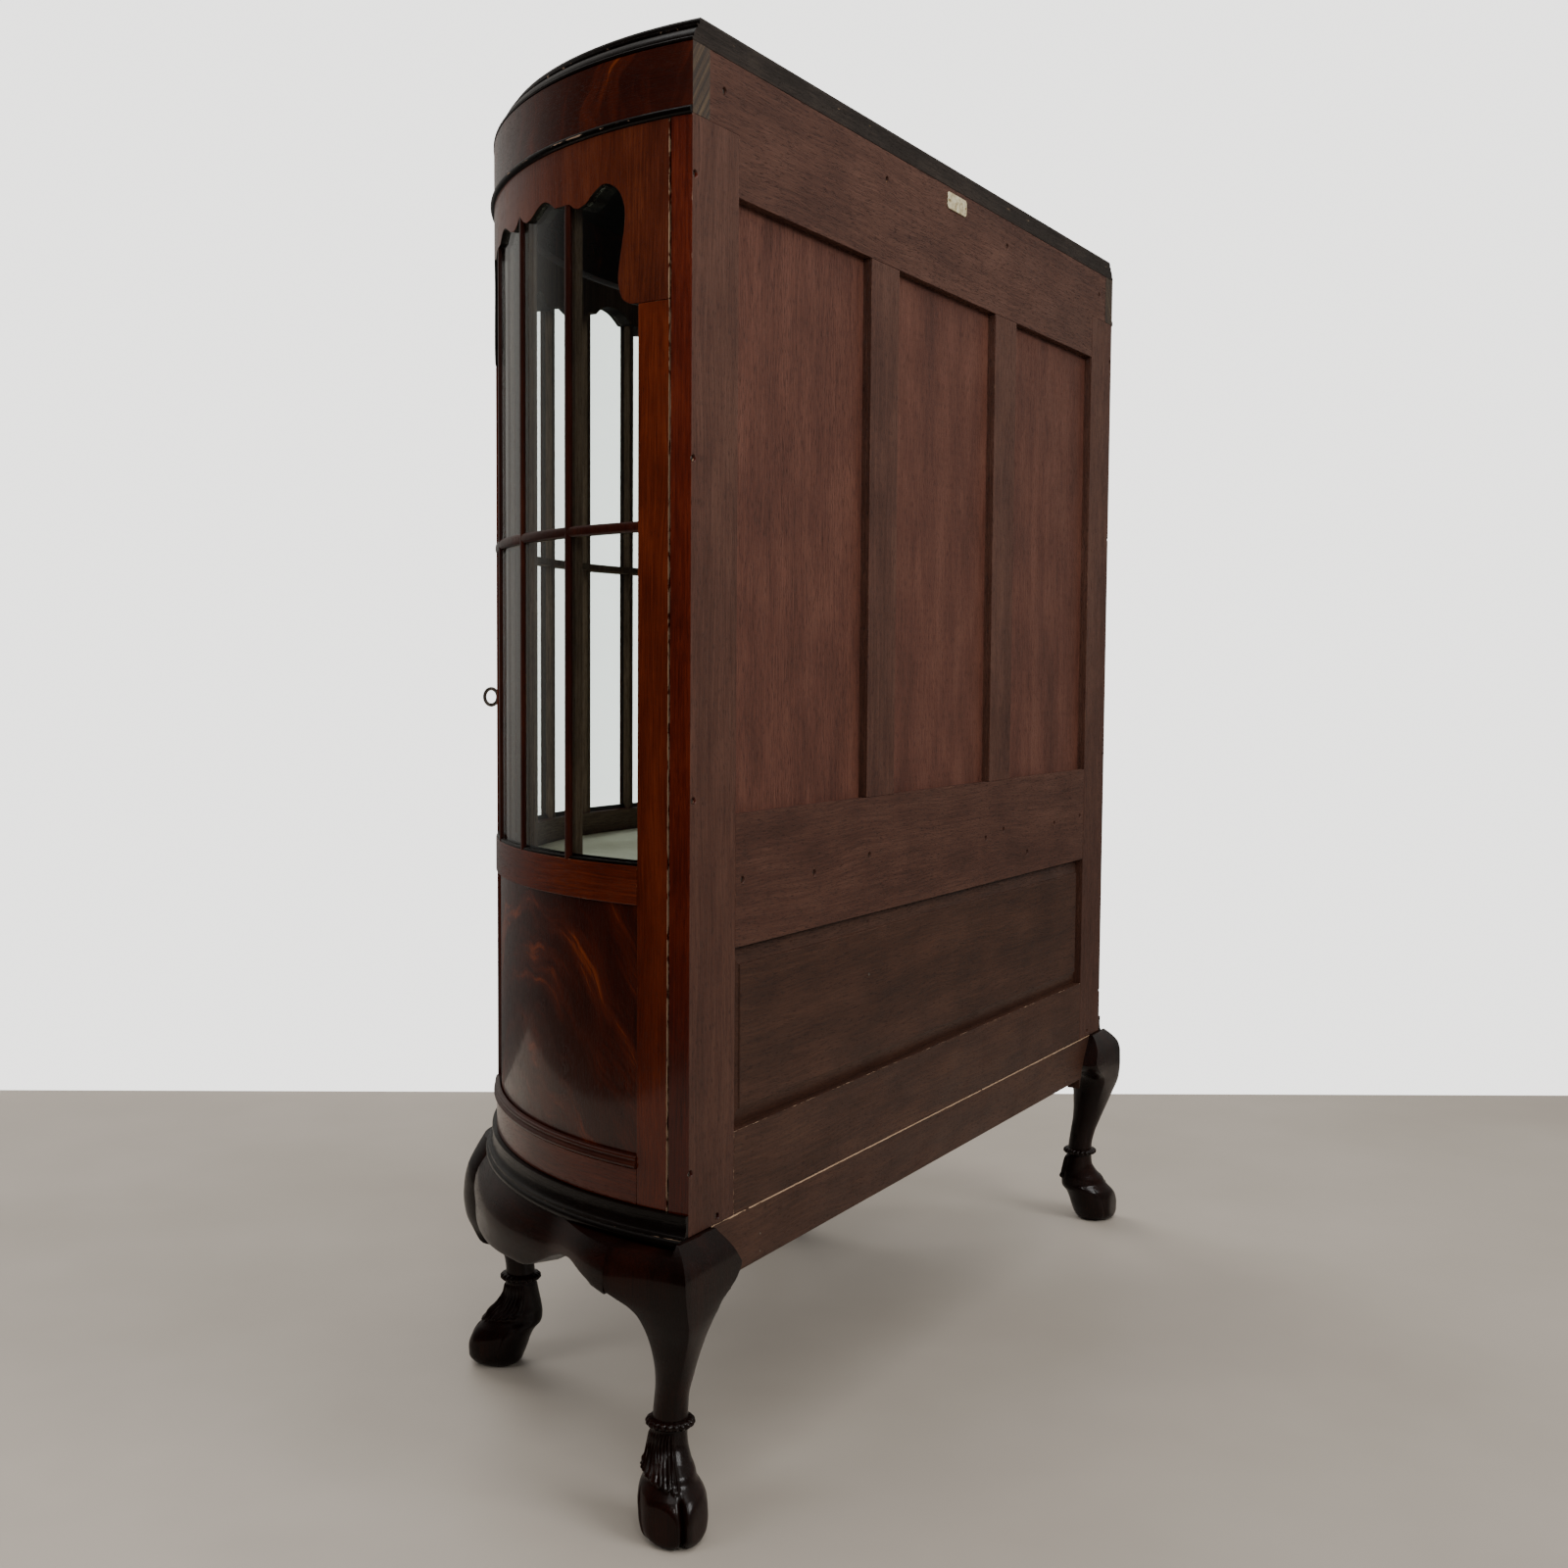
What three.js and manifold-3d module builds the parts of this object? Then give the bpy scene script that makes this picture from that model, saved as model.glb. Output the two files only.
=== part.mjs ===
// Demi-lune china cabinet: a half-elliptical glazed case on four hoof-footed cabriole legs.
// Millimetres, +Z up, front towards -Y. Lengths "along" are measured round the half ellipse of the
// case, from its right back corner; "out" is the distance outward from that ellipse.
import * as THREE from 'three';
import Module from 'manifold-3d';

const wasm = await Module();
wasm.setup();

// ---- Driving dimensions ----

const GAP = 0.3;
const HALF_WIDTH = 533.5;
const CASE_DEPTH = 440;
const TOTAL_HEIGHT = 1250;
const COLUMN = 28;
const BOARD_SIDES = 44;

const BACK_THICKNESS = 20;
const BACK_STILE_WIDTH = 77.5;
const BACK_BOTTOM = 254;
const BACK_BOTTOM_RAIL_TOP = 328;
const BACK_MID_RAIL = [488, 603];
const BACK_TOP_RAIL_BOTTOM = 1121;
const MUNTIN_CENTRE = 161.3;
const MUNTIN_WIDTH = 64.5;
const BACK_PANEL = [-15, -9];
const FIELD = { border: 17, face: -3 };

const FRAME_THICKNESS = 20;
const SIDE_START = 22;
const SIDE_BACK_STILE = 32;
const SIDE_PANES = 4;
const SIDE_PITCH = 92;
const FRONT_STILE = 54.5;
const DOOR_GAP = 1.6;
const DOOR_PANES = 5;
const FRAME_BOTTOM = 273.3;
const FRAME_TOP = 1171.7;
const DOOR_BOTTOM = 275.3;
const DOOR_TOP = 1168.5;
const BOTTOM_RAIL_TOP = 306;
const BEAD_TOP = 316;
const MID_RAIL = [529, 562];
const EAR_FOOT = 1027;
const PANEL_OUT = [-15, -3.5];
const BAR_WIDTH = 9;
const BAR_OUT = [-3.5, 0];
const BAR_HEIGHT = 845;
const GLASS_OUT = [-7, -4];

const FRIEZE = [1172, 1225.7];
const FRIEZE_THICKNESS = 21.5;
const TOP_BOARD_BOTTOM = 1226;
const FLOOR_Z = [517, 535];
const LINING_Z = [535.3, 537.3];
const BOTTOM_BOARD_Z = [245, 270];
const MOULDING = [245, 273];
const MOULDING_INNER = -22;

const BASE_RAIL_BOTTOM = 202;
const BLOCK_WIDTH = 66.5;
const LEG_TOP = 244.7;
const BACK_LEG_AXIS = [528.5, -22];
const BACK_LEG_REACH = 62;
const FRONT_LEG_ALONG = 464;
const FRONT_LEG_SET_BACK = 19;
const FRONT_LEG_REACH = 60;
const APRON_INNER = -16;
const APRON_SWELL = 10;

const HINGE_HEIGHTS = { lower: 375, upper: 1095 };
const HINGE_LENGTH = 50;
const HINGE_AXIS_OUT = 3.4;
const KNUCKLE_RADIUS = 3;
const PIN_RADIUS = 1.4;
const LEAF = { thickness: 1.4, depth: 15, set: 0.9 };
const LOCK_HEIGHT = 706;
const LOCK_TRAVEL = 9;

// ---- Plan of the case ----

const arcLengths = [0];
const ARC_STEPS = 3600;
for (let i = 1; i <= ARC_STEPS; i++) {
  const mid = Math.PI * (i - 0.5) / ARC_STEPS;
  const speed = Math.hypot(HALF_WIDTH * Math.sin(mid), CASE_DEPTH * Math.cos(mid));
  arcLengths.push(arcLengths[i - 1] + speed * Math.PI / ARC_STEPS);
}
const ARC_TOTAL = arcLengths[ARC_STEPS];

function angleAt(along) {
  const wanted = THREE.MathUtils.clamp(along, 0, ARC_TOTAL);
  let low = 0;
  let high = ARC_STEPS;
  while (high - low > 1) {
    const middle = (low + high) >> 1;
    if (arcLengths[middle] > wanted) high = middle;
    else low = middle;
  }
  const share = (wanted - arcLengths[low]) / (arcLengths[high] - arcLengths[low]);
  return Math.PI * (low + share) / ARC_STEPS;
}

// Point on the plan, with the outward direction and the direction of growing length.
function planAt(along, out) {
  const angle = angleAt(along);
  const normal = new THREE.Vector2(Math.cos(angle) / HALF_WIDTH, -Math.sin(angle) / CASE_DEPTH).normalize();
  const point = new THREE.Vector2(HALF_WIDTH * Math.cos(angle), -CASE_DEPTH * Math.sin(angle));
  return { point: point.addScaledVector(normal, out), normal };
}

function bend(along, out, z) {
  const { point } = planAt(along, out);
  return new THREE.Vector3(point.x, point.y, z);
}

// Frame on the case: x along, y outward, z up.
function frameAt(along, out, z) {
  const { point, normal } = planAt(along, out);
  const matrix = new THREE.Matrix4().makeBasis(
    new THREE.Vector3(normal.y, -normal.x, 0),
    new THREE.Vector3(normal.x, normal.y, 0),
    new THREE.Vector3(0, 0, 1),
  );
  return matrix.setPosition(point.x, point.y, z);
}

// ---- Solids ----

function closedGeometry(triangles) {
  const points = [];
  const found = new Map();
  const index = [];
  for (const corners of triangles) {
    const ids = corners.map((p) => {
      const key = [p.x, p.y, p.z].map((value) => Math.round(value * 1e5)).join();
      if (!found.has(key)) found.set(key, points.push(p) - 1);
      return found.get(key);
    });
    if (new Set(ids).size === 3) index.push(...ids);
  }
  let volume = 0;
  for (let i = 0; i < index.length; i += 3) {
    const [a, b, c] = [points[index[i]], points[index[i + 1]], points[index[i + 2]]];
    volume += a.dot(new THREE.Vector3().crossVectors(b, c));
  }
  if (volume < 0) index.reverse();
  const geometry = new THREE.BufferGeometry().setFromPoints(points);
  geometry.setIndex(index);
  return geometry;
}

function toSolid(geometry) {
  const triangles = [];
  const position = geometry.getAttribute('position');
  const order = geometry.index ? geometry.index.array : Array.from({ length: position.count }, (_, i) => i);
  for (let i = 0; i < order.length; i += 3) {
    triangles.push([0, 1, 2].map((k) => new THREE.Vector3().fromBufferAttribute(position, order[i + k])));
  }
  const welded = closedGeometry(triangles);
  const mesh = new wasm.Mesh({
    numProp: 3,
    vertProperties: new Float32Array(welded.getAttribute('position').array),
    triVerts: new Uint32Array(welded.index.array),
  });
  return new wasm.Manifold(mesh);
}

function toGeometry(solid) {
  const mesh = solid.getMesh();
  const geometry = new THREE.BufferGeometry();
  geometry.setAttribute('position', new THREE.BufferAttribute(mesh.vertProperties, 3));
  geometry.setIndex(new THREE.BufferAttribute(mesh.triVerts, 1));
  return geometry;
}

function join(...geometries) {
  return toGeometry(geometries.map(toSolid).reduce((whole, piece) => whole.add(piece)));
}

function cut(geometry, ...tools) {
  return toGeometry(tools.map(toSolid).reduce((left, tool) => left.subtract(tool), toSolid(geometry)));
}

function keep(geometry, region) {
  return toGeometry(toSolid(geometry).intersect(toSolid(region)));
}

function block([x0, x1], [y0, y1], [z0, z1]) {
  const geometry = new THREE.BoxGeometry(x1 - x0, y1 - y0, z1 - z0);
  return geometry.translate((x0 + x1) / 2, (y0 + y1) / 2, (z0 + z1) / 2);
}

// Upright round bar between two heights.
function rod(radius, [z0, z1], x = 0, y = 0, sides = 14) {
  const geometry = new THREE.CylinderGeometry(radius, radius, z1 - z0, sides).rotateX(Math.PI / 2);
  return geometry.translate(x, y, (z0 + z1) / 2);
}

// Round bar lying along y.
function lyingRod(radius, [y0, y1], x, z, sides = 16) {
  const geometry = new THREE.CylinderGeometry(radius, radius, y1 - y0, sides);
  return geometry.translate(x, (y0 + y1) / 2, z);
}

function pointAcross(a, b, value) {
  const [low, high] = a.x < b.x ? [a, b] : [b, a];
  const share = (value - low.x) / (high.x - low.x);
  return new THREE.Vector2(value, low.y + (high.y - low.y) * share);
}

function splitPolygon(polygon, value) {
  const left = [];
  const right = [];
  polygon.forEach((point, i) => {
    const next = polygon[(i + 1) % polygon.length];
    if (point.x <= value) left.push(point);
    if (point.x >= value) right.push(point);
    if ((point.x - value) * (next.x - value) < 0) {
      const crossing = pointAcross(point, next, value);
      left.push(crossing);
      right.push(crossing);
    }
  });
  return [left, right].filter((part) => part.length > 2 && part.some((point) => point.x !== value));
}

// Flat outline of [along, z] points, bent round the case between two outward distances.
function bentPlate(outline, [inner, outer]) {
  const contour = outline.map(([along, z]) => new THREE.Vector2(along, z));
  const alongs = contour.map((point) => point.x);
  const columns = [];
  for (let i = Math.ceil(Math.min(...alongs) / COLUMN); i * COLUMN < Math.max(...alongs); i++) {
    columns.push(i * COLUMN);
  }
  let polygons = THREE.ShapeUtils.triangulateShape(contour, []).map((face) => face.map((i) => contour[i]));
  for (const value of columns) polygons = polygons.flatMap((polygon) => splitPolygon(polygon, value));
  const triangles = [];
  for (const polygon of polygons) {
    for (let i = 1; i + 1 < polygon.length; i++) {
      const face = [polygon[0], polygon[i], polygon[i + 1]];
      triangles.push(face.map((p) => bend(p.x, outer, p.y)));
      triangles.push(face.map((p) => bend(p.x, inner, p.y)).reverse());
    }
  }
  const turn = THREE.ShapeUtils.area(contour) > 0 ? 1 : -1;
  contour.forEach((point, i) => {
    const next = contour[(i + 1) % contour.length];
    const crossings = columns
      .filter((value) => (point.x - value) * (next.x - value) < 0)
      .map((value) => pointAcross(point, next, value));
    if (next.x < point.x) crossings.reverse();
    const stops = [point, ...crossings, next];
    for (let k = 0; k + 1 < stops.length; k++) {
      const [a, b] = turn > 0 ? [stops[k], stops[k + 1]] : [stops[k + 1], stops[k]];
      const [innerA, innerB] = [a, b].map((p) => bend(p.x, inner, p.y));
      const [outerA, outerB] = [a, b].map((p) => bend(p.x, outer, p.y));
      triangles.push([innerA, innerB, outerB], [innerA, outerB, outerA]);
    }
  });
  return closedGeometry(triangles);
}

// Skin over matching sections, each a list of 2D points; place turns a section's point into space.
function loft(sections, place) {
  const rings = sections.map((section, i) => section.map((point) => place(point, i)));
  const triangles = [];
  for (let i = 0; i + 1 < rings.length; i++) {
    rings[i].forEach((point, k) => {
      const n = (k + 1) % rings[i].length;
      triangles.push([point, rings[i][n], rings[i + 1][n]], [point, rings[i + 1][n], rings[i + 1][k]]);
    });
  }
  const last = rings.length - 1;
  const cap = (which) => THREE.ShapeUtils.triangulateShape(
    sections[which].map(([x, y]) => new THREE.Vector2(x, y)), []);
  const turned = THREE.ShapeUtils.area(sections[0].map(([x, y]) => new THREE.Vector2(x, y))) > 0;
  for (const face of cap(0)) {
    const corners = face.map((i) => rings[0][i]);
    triangles.push(turned ? corners.reverse() : corners);
  }
  for (const face of cap(last)) {
    const corners = face.map((i) => rings[last][i]);
    triangles.push(turned ? corners : corners.reverse());
  }
  return closedGeometry(triangles);
}

function stations(start, end, step = COLUMN) {
  const count = Math.ceil((end - start) / step);
  return Array.from({ length: count + 1 }, (_, i) => start + (end - start) * i / count);
}

// Moulding of one [out, z] profile, run round the case.
function moulding(profile, start, end) {
  const along = stations(start, end);
  return loft(along.map(() => profile), ([out, z], i) => bend(along[i], out, z));
}

function bentStrip([start, end], [bottom, top], [inner, outer]) {
  return moulding([[inner, bottom], [outer, bottom], [outer, top], [inner, top]], start, end);
}

// Half-elliptical board whose edge stands "out" at each [out, z] level, with a straight back edge.
function planBoard(levels, backY) {
  const sections = levels.map(([out]) => {
    const first = Math.asin(-backY / (CASE_DEPTH + out));
    return Array.from({ length: BOARD_SIDES + 1 }, (_, i) => {
      const angle = first + (Math.PI - 2 * first) * i / BOARD_SIDES;
      return [(HALF_WIDTH + out) * Math.cos(angle), -(CASE_DEPTH + out) * Math.sin(angle)];
    });
  });
  return loft(sections, ([x, y], i) => new THREE.Vector3(x, y, levels[i][1]));
}

// ---- Materials ----

function finish(color, roughness, metalness = 0) {
  return new THREE.MeshStandardMaterial({ color, roughness, metalness });
}

const polishedWood = finish(0x5b2415, 0.22);
const flameWood = finish(0x8a4420, 0.2);
const backWood = finish(0x5c4038, 0.5);
const panelWood = finish(0x6a3c32, 0.5);
const baseWood = finish(0x2c1612, 0.25);
const ebonised = finish(0x16100e, 0.3);
const clearGlass = finish(0xdfe8e6, 0.05);
clearGlass.transparent = true;
clearGlass.opacity = 0.3;
const brass = finish(0xb08d4a, 0.35, 1);
const steel = finish(0x77736c, 0.4, 1);
const paper = finish(0xbfc0a6, 0.9);

const cabinet = new THREE.Group();

function add(name, geometry, material) {
  const mesh = new THREE.Mesh(geometry, material);
  mesh.name = name;
  cabinet.add(mesh);
}

// ---- Glazed frames ----

// Lower edge of a shaped top rail, from a stile's edge to the middle of the opening: the ear's curl,
// then arches that meet in cusps. Each stretch is a smooth curve through [across, z] knots.
const EAR = [
  [9, EAR_FOOT + 0.5], [18, 1033], [22.3, 1045], [22, 1058], [18.5, 1076], [15.2, 1095],
  [16, 1109], [22, 1121], [32, 1128], [42, 1129.5], [54, 1124], [63, 1118], [73.5, 1115.3],
];
const SIDE_CRESTS = [
  EAR,
  [[73.5, 1115.3], [80, 1117], [87, 1121.5]],
  [[110, 1122.4], [117, 1127], [125, 1130.8], [133, 1131.5], [143, 1128.5], [155, 1123.5], [166, 1121.6]],
  [[166, 1121.6], [174, 1124], [184, 1131]],
];
const DOOR_CRESTS = [
  EAR,
  [[73.5, 1115.3], [80, 1117], [87, 1121.5]],
  [[105, 1123], [112, 1128], [121, 1132.5], [130, 1133], [141, 1130], [153, 1126.5], [165, 1125]],
  [[165, 1125], [172, 1127.5], [180, 1131.5]],
  [[196, 1132.5], [204, 1138], [213, 1142.5], [223, 1145.2], [233.8, 1146]],
];

function crestLine(stretches, width) {
  const half = [[0, EAR_FOOT]];
  for (const knots of stretches) {
    const curve = new THREE.SplineCurve(knots.map(([x, y]) => new THREE.Vector2(x, y)));
    for (const point of curve.getPoints(knots.length - 1)) {
      const [x, y] = half[half.length - 1];
      if (Math.hypot(point.x - x, point.y - y) > 0.5) half.push([point.x, point.y]);
    }
  }
  half[half.length - 1][0] = width / 2;
  const mirrored = half.slice(0, -1).reverse().map(([x, y]) => [width - x, y]);
  return [...half, ...mirrored];
}

// The same line moved into the opening by a small clearance.
function inset(line, distance) {
  return line.map((point, i) => {
    const before = line[Math.max(i - 1, 0)];
    const after = line[Math.min(i + 1, line.length - 1)];
    const length = Math.hypot(after[0] - before[0], after[1] - before[1]);
    const shift = distance / length;
    return [point[0] + (after[1] - before[1]) * shift, point[1] - (after[0] - before[0]) * shift];
  });
}

// Height of a crest line straight above one place in the opening.
function crestHeight(line, x) {
  const i = line.findIndex(([after], k) => k > 0 && line[k - 1][0] <= x && after > x);
  const [before, after] = [line[i - 1], line[i]];
  return THREE.MathUtils.mapLinear(x, before[0], after[0], before[1], after[1]);
}

function lowestNear(line, centre, reach) {
  const knots = line.filter(([x]) => Math.abs(x - centre) < reach).map(([, z]) => z);
  return Math.min(crestHeight(line, centre - reach), crestHeight(line, centre + reach), ...knots);
}

function glazedFrame({ prefix, stiles, start, end, firstStile, lastStile, panes, crests, bottom, top }) {
  const [left, right] = [start + firstStile, end - lastStile];
  const width = right - left;
  const line = crestLine(crests, width);
  const outs = [-FRAME_THICKNESS, 0];
  const openingSpan = [left + GAP, right - GAP];

  const crest = line.map(([x, z]) => [left + x, z]);
  add(`${prefix}_top_rail`,
    bentPlate([[start, top], [start, EAR_FOOT], ...crest, [end, EAR_FOOT], [end, top]], outs), flameWood);
  add(`${prefix}_${stiles[0]}`, bentStrip([start, left], [bottom, EAR_FOOT - GAP], outs), polishedWood);
  add(`${prefix}_${stiles[1]}`, bentStrip([right, end], [bottom, EAR_FOOT - GAP], outs), polishedWood);
  add(`${prefix}_mid_rail`, bentStrip(openingSpan, MID_RAIL, outs), polishedWood);

  const rail = bentStrip(openingSpan, [bottom, BOTTOM_RAIL_TOP], outs);
  const bead = moulding([
    [PANEL_OUT[1] + GAP, BOTTOM_RAIL_TOP - 2], [2, BOTTOM_RAIL_TOP - 2], [3, BOTTOM_RAIL_TOP + 4],
    [1, BEAD_TOP], [PANEL_OUT[1] + GAP, BEAD_TOP],
  ], ...openingSpan);
  add(`${prefix}_bottom_rail`, join(rail, bead), polishedWood);
  add(`${prefix}_panel`,
    bentStrip(openingSpan, [BOTTOM_RAIL_TOP + GAP, MID_RAIL[0] - GAP], PANEL_OUT), flameWood);

  const sill = MID_RAIL[1] + GAP;
  const pitch = width / panes;
  const bars = [bentStrip(openingSpan, [BAR_HEIGHT - BAR_WIDTH / 2, BAR_HEIGHT + BAR_WIDTH / 2], BAR_OUT)];
  for (let i = 1; i < panes; i++) {
    const head = lowestNear(line, pitch * i, BAR_WIDTH / 2) - GAP;
    const centre = left + pitch * i;
    bars.push(bentStrip([centre - BAR_WIDTH / 2, centre + BAR_WIDTH / 2], [sill, head], BAR_OUT));
  }
  add(`${prefix}_bars`, join(...bars), polishedWood);

  const pane = inset(line.slice(1, -1), GAP).map(([x, z]) => [left + x, z]);
  const foot = EAR_FOOT - GAP;
  const glassOutline = [
    [openingSpan[0], sill], [openingSpan[0], foot], ...pane, [openingSpan[1], foot], [openingSpan[1], sill],
  ];
  add(`${prefix}_glass`, bentPlate(glassOutline, GLASS_OUT), clearGlass);
}

const SIDE_END = SIDE_START + SIDE_BACK_STILE + SIDE_PANES * SIDE_PITCH + FRONT_STILE;
const DOOR_START = SIDE_END + DOOR_GAP;
const SIDE_FRAME = { firstStile: SIDE_BACK_STILE, lastStile: FRONT_STILE, crests: SIDE_CRESTS };
const SIDE_BODY = { panes: SIDE_PANES, bottom: FRAME_BOTTOM, top: FRAME_TOP };

glazedFrame({
  prefix: 'side_right', stiles: ['back_stile', 'front_stile'], start: SIDE_START, end: SIDE_END,
  ...SIDE_FRAME, ...SIDE_BODY,
});
glazedFrame({
  prefix: 'side_left', stiles: ['front_stile', 'back_stile'], start: ARC_TOTAL - SIDE_END,
  end: ARC_TOTAL - SIDE_START, ...SIDE_BODY, crests: SIDE_CRESTS, firstStile: FRONT_STILE,
  lastStile: SIDE_BACK_STILE,
});
glazedFrame({
  prefix: 'door', stiles: ['lock_stile', 'hinge_stile'], start: DOOR_START, end: ARC_TOTAL - DOOR_START,
  firstStile: FRONT_STILE, lastStile: FRONT_STILE, panes: DOOR_PANES, crests: DOOR_CRESTS,
  bottom: DOOR_BOTTOM, top: DOOR_TOP,
});

function nodeNamed(name) {
  return cabinet.children.find((mesh) => mesh.name === name);
}

function cutNode(name, ...tools) {
  const mesh = nodeNamed(name);
  mesh.geometry = cut(mesh.geometry, ...tools);
}

// ---- Door hinges, on the left joint ----

const HINGE_JOINT = ARC_TOTAL - SIDE_END - DOOR_GAP / 2;
const HALF_GAP = DOOR_GAP / 2;

// One leaf in the joint's own frame. side is 1 for the leaf on the case, -1 for the leaf on the door.
function hingeLeaf(side, knuckles) {
  const face = side * (HALF_GAP - LEAF.thickness + LEAF.set);
  const faces = [face, face + side * LEAF.thickness].sort((a, b) => a - b);
  const half = HINGE_LENGTH / 2;
  const parts = [block(faces, [-LEAF.depth, 0.1], [-half, half])];
  for (const [z0, z1] of knuckles) {
    parts.push(block(faces, [0, HINGE_AXIS_OUT - 0.6], [z0, z1]));
    parts.push(rod(KNUCKLE_RADIUS, [z0, z1], 0, HINGE_AXIS_OUT));
  }
  return join(...parts);
}

const FIXED_KNUCKLES = [[-25, -15.2], [-4.8, 4.8], [15.2, 25]];
const MOVING_KNUCKLES = [[-14.8, -5.2], [5.2, 14.8]];
const HINGE_SEATS = {
  lower: ['side_left_front_stile', 'door_hinge_stile'],
  upper: ['side_left_top_rail', 'door_top_rail'],
};

for (const [place, height] of Object.entries(HINGE_HEIGHTS)) {
  const frame = frameAt(HINGE_JOINT, 0, height);
  const pin = rod(PIN_RADIUS, [-26.5, 26.5], 0, HINGE_AXIS_OUT, 8);
  const fixedLeaf = join(hingeLeaf(1, FIXED_KNUCKLES), pin);
  const bore = rod(PIN_RADIUS + GAP, [-16, 16], 0, HINGE_AXIS_OUT, 8);
  const movingLeaf = cut(hingeLeaf(-1, MOVING_KNUCKLES), bore);
  add(`hinge_${place}_fixed_leaf`, fixedLeaf.applyMatrix4(frame), brass);
  add(`hinge_${place}_moving_leaf`, movingLeaf.applyMatrix4(frame), brass);
  const seat = LEAF.set + 2 * GAP;
  const rows = [-HINGE_LENGTH / 2 - GAP, HINGE_LENGTH / 2 + GAP];
  const caseSeat = block([0, HALF_GAP + seat], [-LEAF.depth - GAP, 2], rows);
  const doorSeat = block([-HALF_GAP - seat, 0], [-LEAF.depth - GAP, 2], rows);
  const [caseNode, doorNode] = HINGE_SEATS[place];
  cutNode(caseNode, caseSeat.applyMatrix4(frame));
  cutNode(doorNode, doorSeat.applyMatrix4(frame));
}

// ---- Door lock, on the right stile ----

const LOCK_ALONG = DOOR_START + FRONT_STILE / 2;
const lockFrame = frameAt(LOCK_ALONG, 0, LOCK_HEIGHT);
const EDGE = FRONT_STILE / 2;
const CASE_BOX = { x: [-22, 18], y: [-18.5, -9], z: [-17, 17] };
const BOLT = { x: [-EDGE + 0.5, 12], y: [-15.5, -11.5], z: [0, 10] };
const KEY_Z = -8;
const KEY_BIT = 6.6;

function grown([low, high], by) {
  return [low - by, high + by];
}

function keyhole(y0, y1, slotWidth) {
  const slot = block([-slotWidth / 2, slotWidth / 2], [y0, y1], [KEY_Z - KEY_BIT - 1, KEY_Z]);
  return join(lyingRod(3.2, [y0, y1], 0, KEY_Z), slot);
}

const boltWay = block([-EDGE - 20, BOLT.x[1] + GAP], grown(BOLT.y, GAP), grown(BOLT.z, GAP));
const bitPocket = lyingRod(KEY_BIT + 0.8, [-14, -8], 0, KEY_Z);
const lockCase = cut(block(CASE_BOX.x, CASE_BOX.y, CASE_BOX.z), boltWay, bitPocket);
add('lock_case', lockCase.applyMatrix4(lockFrame), brass);
add('lock_bolt', block(BOLT.x, BOLT.y, BOLT.z).applyMatrix4(lockFrame), steel);

const casePocket = block(grown(CASE_BOX.x, GAP), [-25, CASE_BOX.y[1] + GAP], grown(CASE_BOX.z, GAP));
cutNode('door_lock_stile',
  ...[casePocket, boltWay, keyhole(-10, 3, 4)].map((tool) => tool.applyMatrix4(lockFrame)));
const mortise = block([-EDGE - DOOR_GAP - LOCK_TRAVEL - 1, -EDGE], grown(BOLT.y, 0.8), grown(BOLT.z, 0.8));
cutNode('side_right_front_stile', mortise.applyMatrix4(lockFrame));

const ovalShape = new THREE.Shape().absellipse(0, 0, 8, 15, 0, Math.PI * 2);
const oval = new THREE.ExtrudeGeometry(ovalShape, { depth: 1.2, bevelEnabled: false, curveSegments: 16 });
oval.rotateX(Math.PI / 2).translate(0, 1.6, KEY_Z);
add('escutcheon', cut(oval, keyhole(-1, 4, 4.2)).applyMatrix4(lockFrame), brass);

const bowShape = new THREE.Shape().absellipse(18, KEY_Z, 9, 11, 0, Math.PI * 2);
bowShape.holes.push(new THREE.Path().absellipse(18.5, KEY_Z, 5, 6.5, 0, Math.PI * 2));
const bow = new THREE.ExtrudeGeometry(bowShape, { depth: 3, bevelEnabled: false, curveSegments: 14 });
bow.applyMatrix4(new THREE.Matrix4().makeBasis(
  new THREE.Vector3(0, 1, 0), new THREE.Vector3(0, 0, 1), new THREE.Vector3(1, 0, 0)));
bow.translate(-1.5, 0, 0);
const shank = lyingRod(2.4, [-13.5, 10.5], 0, KEY_Z, 16);
const bit = block([-1.2, 1.2], [-13, -9.5], [KEY_Z - KEY_BIT, KEY_Z]);
add('key', join(shank, bow, bit).applyMatrix4(lockFrame), steel);

// ---- Top ----

const EDGE_LEVELS = [
  [0, TOP_BOARD_BOTTOM], [0.5, TOP_BOARD_BOTTOM + 5], [-3, TOP_BOARD_BOTTOM + 7],
  [-8, TOP_BOARD_BOTTOM + 17], [-10, TOP_BOARD_BOTTOM + 20], [-13, TOTAL_HEIGHT],
];
add('top_board', planBoard(EDGE_LEVELS, 0), ebonised);
add('frieze', bentStrip([0, ARC_TOTAL], FRIEZE, [-FRIEZE_THICKNESS, 0]), flameWood);
const BEAD = { z: FRIEZE[0] + 3, radius: 4.5 };
const beadProfile = [[GAP, BEAD.z - BEAD.radius], [GAP, BEAD.z + BEAD.radius]];
for (let i = 1; i < 4; i++) {
  const turn = Math.PI * (0.5 - i / 4);
  beadProfile.push([GAP + 4 * Math.cos(turn), BEAD.z + BEAD.radius * Math.sin(turn)]);
}
const wholeWidth = [-HALF_WIDTH - GAP, HALF_WIDTH + GAP];
const backCorners = block(wholeWidth, [-BACK_THICKNESS - GAP, 5], [1160, FRIEZE[0]]);
add('frieze_bead', cut(moulding(beadProfile, 0, ARC_TOTAL), backCorners), ebonised);

// ---- Back ----

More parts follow.
